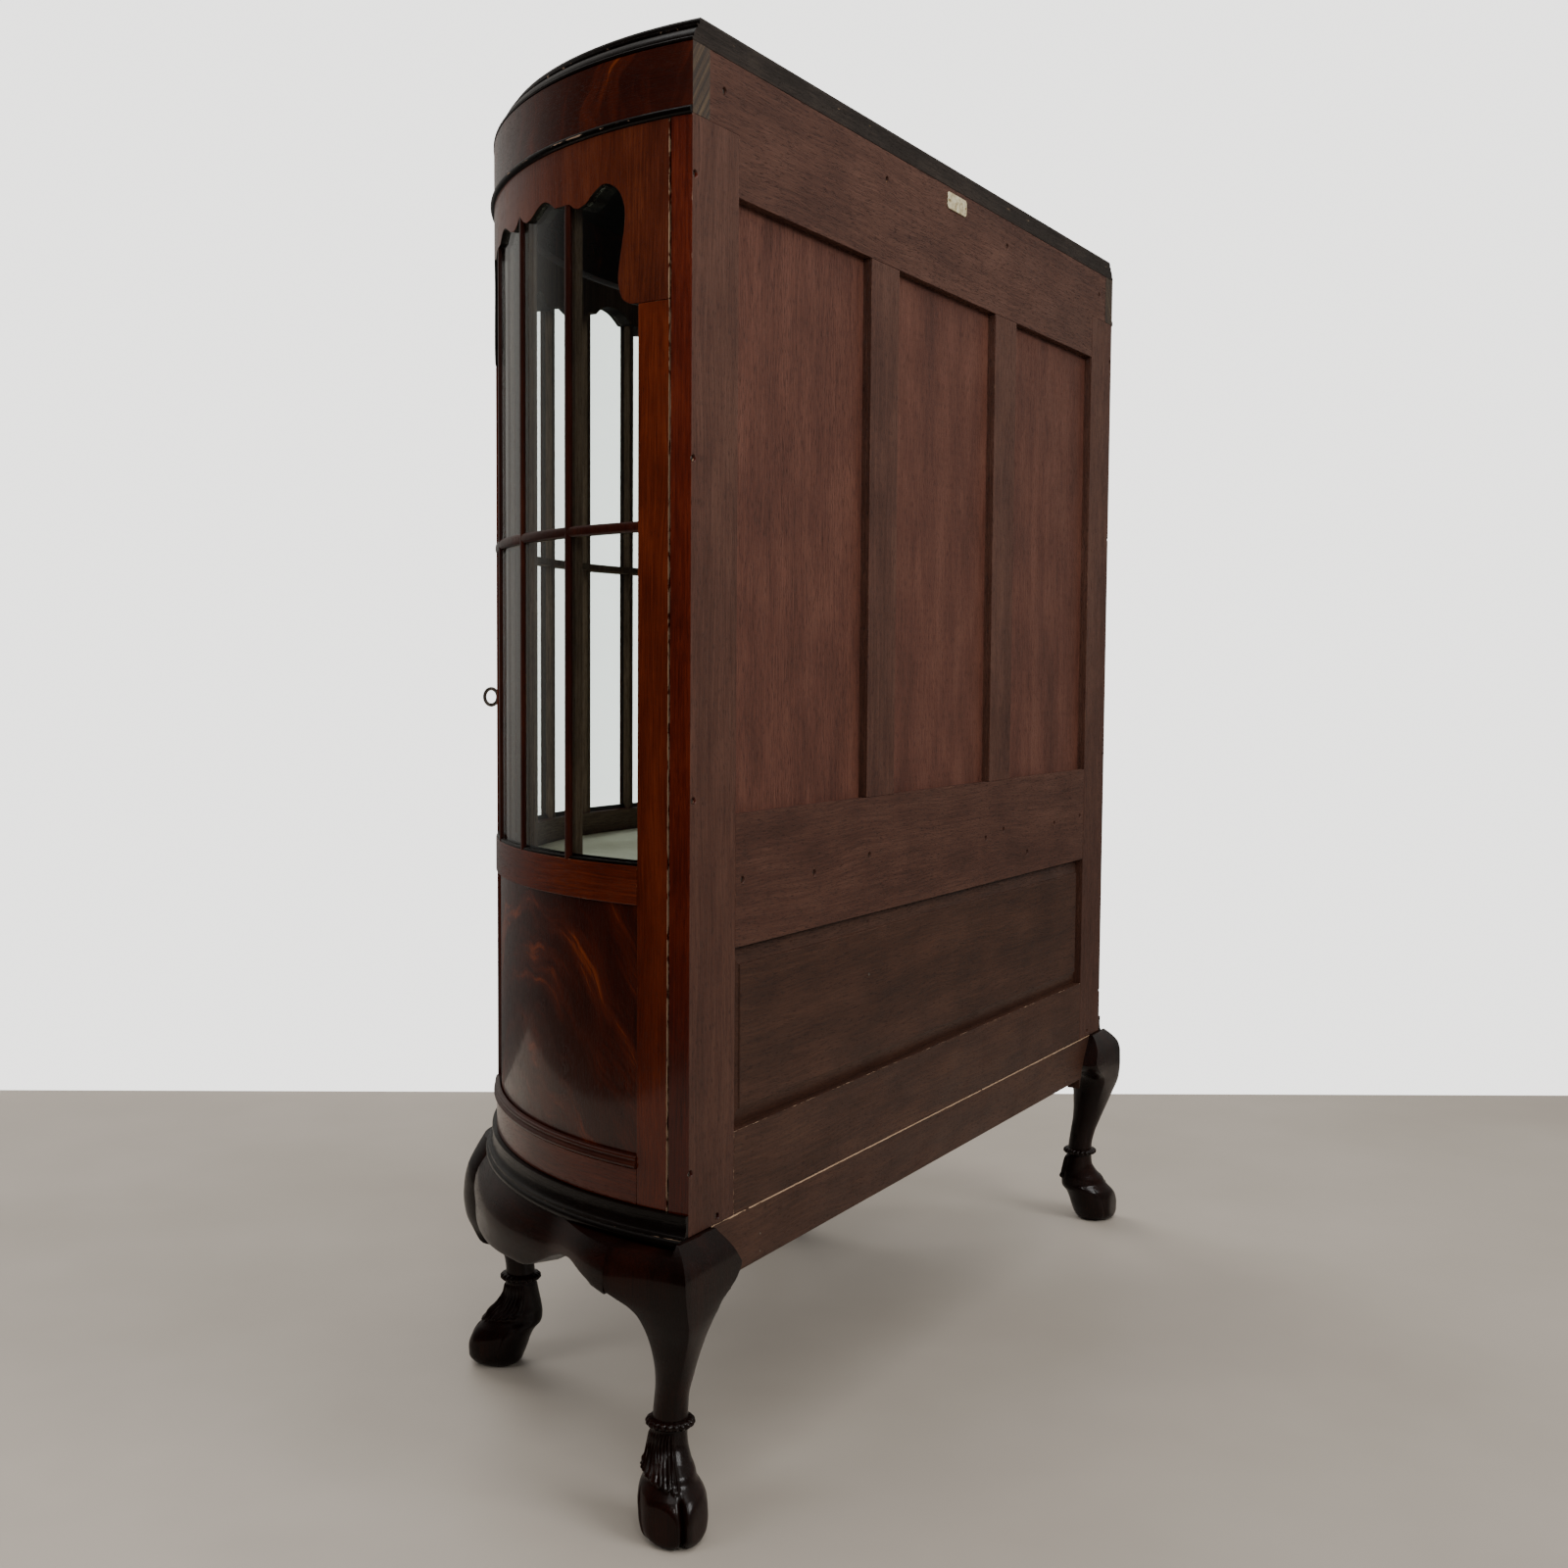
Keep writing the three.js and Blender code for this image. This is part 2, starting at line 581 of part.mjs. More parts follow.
const backY = [-BACK_THICKNESS, 0];
const INNER_X = HALF_WIDTH - BACK_STILE_WIDTH;
const railSpan = [-INNER_X + GAP, INNER_X - GAP];
const muntinEdges = [MUNTIN_CENTRE - MUNTIN_WIDTH / 2, MUNTIN_CENTRE + MUNTIN_WIDTH / 2];
const upperOpening = [BACK_MID_RAIL[1] + GAP, BACK_TOP_RAIL_BOTTOM - GAP];

for (const [side, sign] of [['right', 1], ['left', -1]]) {
  const stileX = [sign * INNER_X, sign * HALF_WIDTH].sort((a, b) => a - b);
  add(`back_stile_${side}`, block(stileX, backY, [BACK_BOTTOM + GAP, FRIEZE[0] - GAP]), backWood);
  const muntinX = muntinEdges.map((x) => sign * x).sort((a, b) => a - b);
  add(`back_muntin_${side}`, block(muntinX, backY, upperOpening), backWood);
  const panelX = [sign * (muntinEdges[1] + GAP), sign * (INNER_X - GAP)].sort((a, b) => a - b);
  add(`back_panel_${side}`, block(panelX, BACK_PANEL, grown(upperOpening, -GAP)), panelWood);
}
const centreX = [-muntinEdges[0] + GAP, muntinEdges[0] - GAP];
add('back_panel_centre', block(centreX, BACK_PANEL, grown(upperOpening, -GAP)), panelWood);

const shoulderX = HALF_WIDTH - FRIEZE_THICKNESS - 2;
const topRail = join(
  block(railSpan, backY, [BACK_TOP_RAIL_BOTTOM, FRIEZE[0] + 1]),
  block([-shoulderX, shoulderX], backY, FRIEZE),
);
add('back_top_rail', topRail, backWood);
add('back_mid_rail', block(railSpan, backY, BACK_MID_RAIL), backWood);
add('back_bottom_rail', block(railSpan, backY, [BACK_BOTTOM + GAP, BACK_BOTTOM_RAIL_TOP]), backWood);
const lowerOpening = [BACK_BOTTOM_RAIL_TOP + GAP, BACK_MID_RAIL[0] - GAP];
const fieldSection = (border) => {
  const [x, low, high] = [railSpan[1] - border * 0.88, lowerOpening[0] + border, lowerOpening[1] - border];
  return [[-x, low], [x, low], [x, high], [-x, high]];
};
const raisedField = loft([fieldSection(0.5), fieldSection(FIELD.border)],
  ([x, z], i) => new THREE.Vector3(x, [BACK_PANEL[1] - 1, FIELD.face][i], z));
add('back_lower_panel', join(block(railSpan, BACK_PANEL, lowerOpening), raisedField), panelWood);

const PLATE = { width: 51, height: 17, corner: 4, x: -13, z: 1215, thickness: 0.8 };
const plateShape = new THREE.Shape();
const [plateX, plateZ] = [PLATE.width / 2, PLATE.height / 2];
plateShape.moveTo(-plateX + PLATE.corner, -plateZ).lineTo(plateX - PLATE.corner, -plateZ);
plateShape.absarc(plateX, -plateZ, PLATE.corner, Math.PI, Math.PI / 2, true);
plateShape.absarc(plateX, plateZ, PLATE.corner, -Math.PI / 2, -Math.PI, true);
plateShape.absarc(-plateX, plateZ, PLATE.corner, 0, -Math.PI / 2, true);
plateShape.absarc(-plateX, -plateZ, PLATE.corner, Math.PI / 2, 0, true);
const plate = new THREE.ExtrudeGeometry(plateShape, {
  depth: PLATE.thickness, bevelEnabled: false, curveSegments: 5,
});
plate.rotateX(Math.PI / 2).translate(PLATE.x, GAP + PLATE.thickness, PLATE.z);
add('maker_plate', plate, brass);

// ---- Inside boards ----

const boardBack = -BACK_THICKNESS - 0.4;
add('display_floor', planBoard([[-20.8, FLOOR_Z[0]], [-20.8, FLOOR_Z[1]]], boardBack), polishedWood);
add('floor_lining', planBoard([[-22, LINING_Z[0]], [-22, LINING_Z[1]]], boardBack - 1), paper);
const bottomLevels = BOTTOM_BOARD_Z.map((z) => [MOULDING_INNER - 0.6, z]);
add('bottom_board', planBoard(bottomLevels, boardBack), baseWood);

// ---- Base ----

const baseMoulding = moulding([
  [MOULDING_INNER, MOULDING[0]], [9, MOULDING[0]], [11, MOULDING[0] + 3], [9, MOULDING[0] + 8],
  [5.2, MOULDING[0] + 13], [3.4, MOULDING[0] + 20], [4.6, MOULDING[0] + 25], [4.6, MOULDING[1]],
  [MOULDING_INNER, MOULDING[1]],
], 0, ARC_TOTAL);
const backNotch = block(wholeWidth, [-BACK_THICKNESS - 2 * GAP, 5], [200, 300]);
add('base_moulding', cut(baseMoulding, backNotch), ebonised);
const baseRailX = HALF_WIDTH - BLOCK_WIDTH - GAP;
add('back_base_rail', block([-baseRailX, baseRailX], backY, [BASE_RAIL_BOTTOM, BACK_BOTTOM]), baseWood);

// Leg sections from the sole up: height, reach forward and back of the ankle, half width, squareness
// (2 is an oval, 1 a corner), and how far the widest place lies forward of the ankle.
const FOOT_SECTIONS = [
  [0, 38, -8, 13, 2, 22], [3, 47, 0, 21, 2, 22], [10, 51.5, 3.6, 25, 2, 22], [20, 51, 7.5, 26, 2, 20],
  [30, 47.5, 11, 26, 2, 17], [40, 43.5, 15.5, 25.5, 2, 13], [45, 41, 22, 25, 2, 9], [53, 35, 23.3, 24, 2, 6],
  [63, 23.6, 22.8, 21, 2, 1], [76, 15.8, 20, 17.5, 2, -2], [85.5, 15.2, 17.2, 15.5, 2, -1],
  [89, 21.6, 22, 21.6, 2, 0], [96, 21.6, 22, 21.6, 2, 0], [99.5, 15.2, 14.6, 14.8, 2, 0],
];
const BACK_KNEE_SECTIONS = [
  [118, 21.5, 12, 15.6, 2, 4], [136, 28.6, 9.6, 18.5, 1.7, 9], [154, 36.6, 8, 24, 1.42, 12],
  [170, 44, 8, 30, 1.24, 13.5], [188, 54, 10, 38.5, 1.12, 15], [197, 56.6, 15, 45, 1.08, 12],
  [204, 57.4, 23, 53, 1.05, 4.5], [211, 57.6, 33, 61, 1.04, -3], [220, 56.6, 40, 68, 1.03, -11],
  [232, 52, 40, 68, 1.03, -15], [LEG_TOP, 41.5, 40, 68, 1.03, -25],
];
const FRONT_KNEE_SECTIONS = BACK_KNEE_SECTIONS.map(([z, reach, back, wide], i) => {
  const rise = i / (BACK_KNEE_SECTIONS.length - 1);
  return [z, reach - 3 * rise, back, wide * (1 + 0.14 * rise), 2 - 0.15 * rise, 4 - 24 * rise];
});

function legSection([, reach, back, wide, squareness, middle]) {
  const points = [];
  const sides = 14;
  for (let i = 0; i < sides; i++) {
    const angle = Math.PI * 2 * i / sides;
    const power = Math.cos(angle) > 0 ? 2 / squareness : 1;
    const depth = Math.cos(angle) > 0 ? reach - middle : back + middle;
    const forward = middle + depth * Math.sign(Math.cos(angle)) * Math.abs(Math.cos(angle)) ** power;
    points.push([forward, wide * Math.sign(Math.sin(angle)) * Math.abs(Math.sin(angle)) ** power]);
  }
  return points;
}

function legSolid(sections, [axisX, axisY], [outX, outY]) {
  return loft(sections.map(legSection), ([forward, across], i) => new THREE.Vector3(
    axisX + outX * forward - outY * across, axisY + outY * forward + outX * across, sections[i][0]));
}

for (const [side, sign] of [['right', 1], ['left', -1]]) {
  const top = [BACK_BOTTOM - GAP, 31.5, 40, 68, 1.03, -36];
  const whole = legSolid([...FOOT_SECTIONS, ...BACK_KNEE_SECTIONS, top],
    [sign * BACK_LEG_AXIS[0], BACK_LEG_AXIS[1]], [sign * Math.SQRT1_2, Math.SQRT1_2]);
  const inner = HALF_WIDTH - BLOCK_WIDTH;
  const mirrored = (from, to) => (sign > 0 ? [from, to] : [-to, -from]);
  const allowed = join(
    block(mirrored(inner, 620), [-BACK_LEG_REACH, 60], [-5, LEG_TOP]),
    block(mirrored(inner, HALF_WIDTH - GAP), [-BACK_THICKNESS, 60], [200, 260]),
  );
  add(`leg_back_${side}`, keep(whole, allowed), baseWood);

  const along = sign > 0 ? FRONT_LEG_ALONG : ARC_TOTAL - FRONT_LEG_ALONG;
  const { point, normal } = planAt(along, -FRONT_LEG_SET_BACK);
  const frontLeg = legSolid(
    [...FOOT_SECTIONS, ...FRONT_KNEE_SECTIONS], [point.x, point.y], [normal.x, normal.y]);
  const span = [along - FRONT_LEG_REACH, along + FRONT_LEG_REACH];
  add(`leg_front_${side}`, keep(frontLeg, bentStrip(span, [-5, 250], [-90, 70])), baseWood);
}

// Apron board between two legs. lower gives its lower edge as [share of the run, z]; swell gives how
// far its face stands out at the widest height, at a given distance along.
function apron(start, end, lower, swell) {
  const edge = new THREE.SplineCurve(lower.map(([share, z]) => new THREE.Vector2(share, z)));
  const steps = Math.ceil((end - start) / 15);
  const edgePoints = edge.getPoints(steps);
  const sections = edgePoints.map(({ x: share, y: bottom }) => {
    const face = swell(start + (end - start) * share);
    const heights = [0, 0.35, 0.7, 0.9, 1].map((part) => bottom + (LEG_TOP - bottom) * part);
    const profile = heights.map((z) => [face(z), z]);
    return [[APRON_INNER, bottom], ...profile, [APRON_INNER, LEG_TOP]];
  });
  return loft(sections, ([out, z], i) => bend(start + (end - start) * edgePoints[i].x, out, z));
}

function plainSwell(z) {
  const rise = THREE.MathUtils.clamp((LEG_TOP - z) / 45, 0, 1);
  return 4 + APRON_SWELL * Math.sin(rise * Math.PI * 0.62);
}

// The knee's reach carried a little way along the apron beside a back leg.
function kneeSwell(z) {
  const sections = BACK_KNEE_SECTIONS;
  const above = sections.findIndex(([height]) => height >= z);
  if (above < 1) return sections[Math.max(above, 0)][1] * Math.SQRT1_2;
  const [low, high] = [sections[above - 1], sections[above]];
  return THREE.MathUtils.mapLinear(z, low[0], high[0], low[1], high[1]) * Math.SQRT1_2;
}

function sideSwell(along) {
  const fade = THREE.MathUtils.smoothstep(along, 45, 165);
  return (z) => kneeSwell(z) * (1 - fade) + plainSwell(z) * fade;
}

const ARCH = [
  [0, 190], [0.07, 194], [0.12, 195.5], [0.16, 203], [0.22, 209.5], [0.32, 206], [0.42, 193], [0.5, 186],
];
const mirroredArch = ARCH.slice(0, -1).reverse().map(([share, z]) => [1 - share, z]);
const lowerEdge = [...ARCH, ...mirroredArch];
const sideRun = [BACK_LEG_REACH - 14, FRONT_LEG_ALONG - FRONT_LEG_REACH - GAP];
const clearOfLegs = block([-700, 700], [-BACK_LEG_REACH - GAP, 60], [100, 300]);
add('apron_right', cut(apron(...sideRun, lowerEdge, sideSwell), clearOfLegs), baseWood);
const leftRun = sideRun.map((along) => ARC_TOTAL - along).reverse();
const leftSwell = (along) => sideSwell(ARC_TOTAL - along);
add('apron_left', cut(apron(...leftRun, lowerEdge, leftSwell), clearOfLegs), baseWood);
const frontRun = FRONT_LEG_ALONG + FRONT_LEG_REACH + GAP;
add('apron_front', apron(frontRun, ARC_TOTAL - frontRun, lowerEdge, () => plainSwell), baseWood);

// ---- Placing: origin at the middle of the footprint, on the floor ----

const box = new THREE.Box3().setFromObject(cabinet);
const middleY = (box.min.y + box.max.y) / 2;
cabinet.children.forEach((mesh) => mesh.geometry.translate(0, -middleY, -box.min.z));

export default cabinet;
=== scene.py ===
"""Demi-lune china cabinet: the fine surfaces, materials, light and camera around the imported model."""
import math
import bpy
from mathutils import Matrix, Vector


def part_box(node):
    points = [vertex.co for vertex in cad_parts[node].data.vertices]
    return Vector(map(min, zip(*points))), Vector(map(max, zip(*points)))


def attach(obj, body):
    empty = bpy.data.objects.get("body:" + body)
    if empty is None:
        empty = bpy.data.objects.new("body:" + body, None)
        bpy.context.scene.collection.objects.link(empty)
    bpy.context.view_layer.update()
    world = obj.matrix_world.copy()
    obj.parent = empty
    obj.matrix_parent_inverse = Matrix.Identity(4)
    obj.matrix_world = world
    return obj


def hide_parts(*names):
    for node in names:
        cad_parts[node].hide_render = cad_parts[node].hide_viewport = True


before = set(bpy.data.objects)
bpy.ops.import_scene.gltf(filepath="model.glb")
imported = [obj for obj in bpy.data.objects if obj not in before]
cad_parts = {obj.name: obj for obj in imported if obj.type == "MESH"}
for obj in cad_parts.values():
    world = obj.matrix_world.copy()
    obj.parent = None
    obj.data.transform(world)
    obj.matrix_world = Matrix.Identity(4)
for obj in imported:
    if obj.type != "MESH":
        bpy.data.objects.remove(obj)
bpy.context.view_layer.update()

import zlib

import bmesh
import bpy
import numpy as np
from mathutils import Matrix, Vector

MM = 0.001
scene = bpy.context.scene

# ---- Sizes, in millimetres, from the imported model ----


def low(node):
    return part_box(node)[0] / MM


def high(node):
    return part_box(node)[1] / MM


def heights(node):
    return low(node).z, high(node).z


BACK = high("back_stile_right").y
HALF_WIDTH = high("frieze").x
CASE_DEPTH = round(BACK - low("frieze").y)
FRAME_BOTTOM, EAR_FOOT = heights("side_right_front_stile")[0], low("side_right_top_rail").z
FRAME_TOP = high("side_right_top_rail").z
DOOR_BOTTOM, DOOR_TOP = low("door_lock_stile").z, high("door_top_rail").z
MID_RAIL = heights("door_mid_rail")
BEAD_TOP = high("door_bottom_rail").z
FRIEZE = (heights("frieze")[0], heights("frieze")[1] + 2.8)
BAR_HEIGHT = 845
BAR_WIDTH = 9
LEG_TOP = high("leg_front_right").z
BACK_BOTTOM = high("leg_back_right").z
FRAME_DEPTH = 20

SIDE_START = 22
SIDE_BACK_STILE = 32
SIDE_PANES = 4
SIDE_PITCH = 92
FRONT_STILE = 54.5
DOOR_GAP = 1.6
DOOR_PANES = 5
BOTTOM_RAIL_TOP = 306

# ---- Plan of the case: lengths "along" run round the half ellipse from the right back corner ----

ANGLES = np.linspace(0, math.pi, 3601)
STEP_MIDDLES = (ANGLES[1:] + ANGLES[:-1]) / 2
STEPS = np.hypot(HALF_WIDTH * np.sin(STEP_MIDDLES), CASE_DEPTH * np.cos(STEP_MIDDLES)) * ANGLES[1]
LENGTHS = np.concatenate([[0], np.cumsum(STEPS)])
ARC_TOTAL = LENGTHS[-1]
SIDE_END = SIDE_START + SIDE_BACK_STILE + SIDE_PANES * SIDE_PITCH + FRONT_STILE
DOOR_START = SIDE_END + DOOR_GAP
FRONT_LEG_ALONG = 464


def outward(along):
    angle = np.interp(along, LENGTHS, ANGLES)
    return Vector((math.cos(angle) / HALF_WIDTH, -math.sin(angle) / CASE_DEPTH, 0)).normalized()


def bend(along, out, z):
    """A point at a length along the case, a distance outward and a height."""
    angle = np.interp(along, LENGTHS, ANGLES)
    point = Vector((HALF_WIDTH * math.cos(angle), BACK - CASE_DEPTH * math.sin(angle), z))
    return point + outward(along) * out


def seat(along, z):
    """The case's own frame at a place: x along, y outward, z up."""
    normal = outward(along)
    turn = Matrix((Vector((normal.y, -normal.x, 0)), normal, Vector((0, 0, 1)))).transposed()
    return Matrix.Translation(bend(along, 0, z)) @ turn.to_4x4()


# ---- Materials ----


def srgb(red, green, blue):
    """A colour as it is named on screen, as the shader takes it."""
    return tuple(((c / 255 + 0.055) / 1.055) ** 2.4 if c > 10 else c / 3295 for c in (red, green, blue)) + (1,)


class Shader:
    """A material's node tree, built from the inside out."""

    def __init__(self, name):
        self.material = bpy.data.materials.new(name)
        self.material.use_nodes = True
        self.tree = self.material.node_tree
        self.tree.nodes.clear()

    def node(self, kind, *values, **settings):
        made = self.tree.nodes.new("ShaderNode" + kind)
        for key, value in settings.items():
            if hasattr(made, key):
                setattr(made, key, value)
            else:
                self.feed(made.inputs[key.replace("_", " ")], value)
        for socket, value in zip(made.inputs, values):
            if value is not None:
                self.feed(socket, value)
        return made

    def feed(self, socket, value):
        if isinstance(value, bpy.types.NodeSocket):
            self.tree.links.new(value, socket)
        else:
            socket.default_value = value

    def maths(self, operation, *values, clamp=False):
        return self.node("Math", *values, operation=operation, use_clamp=clamp).outputs[0]
    def times(self, first, second):
        return self.maths("MULTIPLY", first, second)

    def times_plus(self, value, factor, added, clamp=False):
        return self.maths("MULTIPLY_ADD", value, factor, added, clamp=clamp)

    def attribute(self, name, output):
        return self.node("Attribute", attribute_name=name).outputs[output]

    def place(self):
        return self.node("TexCoord").outputs["Object"]

    def vector(self, x, y, z):
        return self.node("CombineXYZ", x, y, z).outputs[0]

    def scaled(self, vector, *scale):
        return self.node("VectorMath", vector, scale, operation="MULTIPLY").outputs[0]

    def noise(self, vector, detail=3.0, roughness=0.5, distortion=0.0):
        return self.node("TexNoise", vector, Scale=1.0, Detail=detail, Roughness=roughness,
                         Distortion=distortion).outputs["Fac"]

    def step(self, value, start, end):
        made = self.node("MapRange", value, start, end, 0.0, 1.0, interpolation_type="SMOOTHSTEP")
        return made.outputs[0]

    def ramp(self, value, *stops):
        made = self.node("ValToRGB", value)
        elements = made.color_ramp.elements
        while len(elements) < len(stops):
            elements.new(0.5)
        for element, (place, colour) in zip(elements, stops):
            element.position = place
            element.color = srgb(*colour)
        return made.outputs["Color"]

    def mix(self, share, first, second, blend="MIX"):
        made = self.node("Mix", data_type="RGBA", blend_type=blend)
        self.feed(made.inputs[0], share)
        self.feed(made.inputs[6], first)
        self.feed(made.inputs[7], second)
        return made.outputs[2]

    def surface(self, bump=None, bump_depth=0.0002, bump_strength=0.5, **inputs):
        surface = self.node("BsdfPrincipled")
        for key, value in inputs.items():
            self.feed(surface.inputs[key.replace("_", " ")], value)
        if bump is not None:
            relief = self.node("Bump", Strength=bump_strength, Distance=bump_depth, Height=bump)
            self.feed(surface.inputs["Normal"], relief.outputs[0])
            if surface.inputs["Coat Weight"].default_value > 0:
                soft = self.node("Bump", Strength=bump_strength * 0.35, Distance=bump_depth, Height=bump)
                self.feed(surface.inputs["Coat Normal"], soft.outputs[0])
        self.output(surface)
        return self.material

    def output(self, surface):
        self.feed(self.node("OutputMaterial").inputs[0], surface.outputs[0])


def wood(name, tones, roughness=0.45, coat=0.0, coat_roughness=0.1, streaks=1.0, pores=0.5,
         worn=(150, 112, 78), wear=0.5, relief=0.5, flame=0.0, specular=0.12, foot_shade=0.0):
    """Mahogany whose grain runs along z of the 'grain' attribute, in millimetres. tones are dark, middle
    and light. flame mixes in the arched figure of a crotch veneer. The last argument darkens the wood toward
    the foot, a painted shade for light that falls from above."""
    s = Shader(name)
    grain = s.attribute("grain", "Vector")
    waver = s.noise(s.scaled(grain, 0.012, 0.012, 0.004), 2.0)
    shift = s.vector(s.times(waver, 26.0), 0.0, 0.0)
    bent = s.node("VectorMath", grain, shift, operation="ADD").outputs[0]
    fine = s.noise(s.scaled(bent, 0.62, 0.62, 0.016), 5.0, 0.68)
    broad = s.noise(s.scaled(bent, 0.03, 0.03, 0.002), 2.0, 0.5)
    mottle = s.noise(s.scaled(grain, 0.02, 0.02, 0.012), 3.0, 0.55)
    pore = s.step(s.noise(s.scaled(bent, 1.5, 1.5, 0.11), 2.0, 0.6), 0.54, 0.66)
    tone = s.times_plus(mottle, 0.4, s.times_plus(fine, 0.75 * streaks, s.times(broad, 0.35)))
    middle_tone = 0.375 + 0.375 * streaks
    figure = tone = s.step(tone, middle_tone - 0.27, middle_tone + 0.27)
    if flame > 0:
        axes = s.node("SeparateXYZ", grain)
        across, up = axes.outputs[0], axes.outputs[2]
        swirl = s.noise(s.scaled(grain, 0.009, 0.009, 0.006), 3.0, 0.5)
        drop = s.times(s.times(across, across), 0.0042)
        arch = s.maths("ADD", s.maths("ADD", up, drop), s.times(swirl, 120.0))
        bands = s.noise(s.vector(s.times(arch, 0.021), s.times(across, 0.006), 3.0), 3.0, 0.55)
        barbs = s.noise(s.vector(s.times(arch, 0.16), s.times(across, 0.022), 9.0), 4.0, 0.6)
        lit = s.step(s.times_plus(barbs, 0.35, s.times(bands, 0.85)), 0.52, 0.86)
        figure = s.node("Mix", flame, None, tone, lit, data_type="FLOAT").outputs[0]
    colour = s.ramp(figure, *zip((0.0, 0.5, 1.0), tones))
    colour = s.mix(s.times(pore, pores), colour, s.mix(1.0, colour, srgb(150, 128, 118), "MULTIPLY"))
    # Painted shade: the colour darkens toward the foot, where less light falls from above.
    level = s.node("SeparateXYZ", s.place()).outputs[2]
    lit_by_height = s.times_plus(s.step(level, 0.15, 0.95), foot_shade, 1.0 - foot_shade)
    fade = s.vector(s.maths("POWER", lit_by_height, 0.8), lit_by_height, s.maths("POWER", lit_by_height, 1.2))
    colour = s.mix(1.0, colour, fade, "MULTIPLY")
    chips = s.noise(s.scaled(grain, 0.16, 0.16, 0.045), 4.0, 0.7)
    mark = s.attribute("wear", "Fac")
    bare = s.step(s.times_plus(mark, 0.3, chips), 0.96 - 0.25 * wear, 1.02 - 0.25 * wear)
    edge = s.maths("MULTIPLY", mark, bare, clamp=True)
    colour = s.mix(edge, colour, srgb(*worn))
    smudge = s.noise(s.scaled(grain, 0.02, 0.02, 0.011), 3.0, 0.6)
    rough = s.times_plus(smudge, 0.22, s.times_plus(pore, 0.12, roughness - 0.11))
    rough = s.times_plus(edge, 0.25, rough, clamp=True)
    height = s.maths("SUBTRACT", s.maths("SUBTRACT", s.times(fine, 0.5), s.times(pore, 0.7)), edge)
    return s.surface(height, 0.00025, relief, Base_Color=colour, Roughness=rough, Coat_Weight=coat,
                     Coat_Roughness=coat_roughness, Specular_IOR_Level=specular)


def end_grain(name):
    """Sawn end of a board, with its growth rings and open pores."""
    s = Shader(name)
    across = s.node("SeparateXYZ", s.place()).outputs
    curve = s.times(across[0], across[0])
    growth = s.vector(s.times(across[0], 9.0), 0.0, s.times_plus(curve, 320.0, s.times(across[2], 250.0)))
    rings = s.noise(growth, 3.0, 0.6, 0.6)
    pores = s.step(s.noise(s.scaled(s.place(), 1100.0, 1100.0, 420.0), 2.0), 0.55, 0.68)
    colour = s.ramp(rings, (0.34, (24, 15, 8)), (0.5, (52, 37, 23)), (0.68, (82, 64, 43)))
    colour = s.mix(s.times(pores, 0.6), colour, srgb(38, 28, 18))
    return s.surface(s.maths("SUBTRACT", rings, pores), 0.0005, 0.6, Base_Color=colour, Roughness=0.75)


def metal(name, colour, tarnish, roughness):
    s = Shader(name)
    cloud = s.noise(s.scaled(s.place(), 240.0, 240.0, 240.0), 5.0, 0.65)
    scratch = s.noise(s.scaled(s.place(), 2600.0, 2600.0, 160.0), 2.0, 0.5)
    base = s.mix(s.step(cloud, 0.42, 0.68), srgb(*colour), srgb(*tarnish))
    rough = s.times_plus(cloud, 0.35, roughness - 0.1, clamp=True)
    return s.surface(scratch, 0.00005, 0.3, Base_Color=base, Roughness=rough, Metallic=1.0)


def glass(name):
    """Thin window glass: clear head on, mirroring at a glance, with the faint waves of old bent sheet."""
    s = Shader(name)
    facing = s.node("LayerWeight", 0.5).outputs["Facing"]
    share = s.times_plus(s.maths("POWER", facing, 5.0), 0.9, 0.045, clamp=True)
    waves = s.noise(s.scaled(s.attribute("grain", "Vector"), 0.011, 0.011, 0.006), 2.0)
    relief = s.node("Bump", Strength=0.25, Distance=0.004, Height=waves)
    mirror = s.node("BsdfGlossy", Color=(1, 1, 1, 1), Roughness=0.02, Normal=relief.outputs[0])
    clear = s.node("BsdfTransparent", (0.93, 0.955, 0.945, 1))
    s.output(s.node("MixShader", share, clear.outputs[0], mirror.outputs[0]))
    return s.material


def cloth(name):
    """Faded lining cloth, a plain tight weave with soft stains."""
    s = Shader(name)
    weft, warp = [s.node("TexWave", s.scaled(s.place(), 1.0, 1.0, 1.0), Scale=380.0, Distortion=0.6, Detail=2.0,
                         bands_direction=way).outputs["Fac"] for way in "XY"]
    stain = s.noise(s.scaled(s.place(), 7.0, 7.0, 7.0), 4.0, 0.6)
    colour = s.ramp(stain, (0.3, (214, 212, 178)), (0.5, (236, 236, 208)), (0.7, (246, 246, 226)))
    return s.surface(s.maths("ADD", weft, warp), 0.0003, 0.5, Base_Color=colour, Roughness=0.92,
                     Sheen_Weight=0.25)


def ivory(name):
    s = Shader(name)
    cloud = s.noise(s.scaled(s.place(), 160.0, 160.0, 160.0), 4.0, 0.6)
    colour = s.ramp(cloud, (0.35, (150, 132, 92)), (0.5, (206, 194, 156)), (0.65, (224, 216, 186)))
    return s.surface(cloud, 0.0001, 0.3, Base_Color=colour, Roughness=0.35)


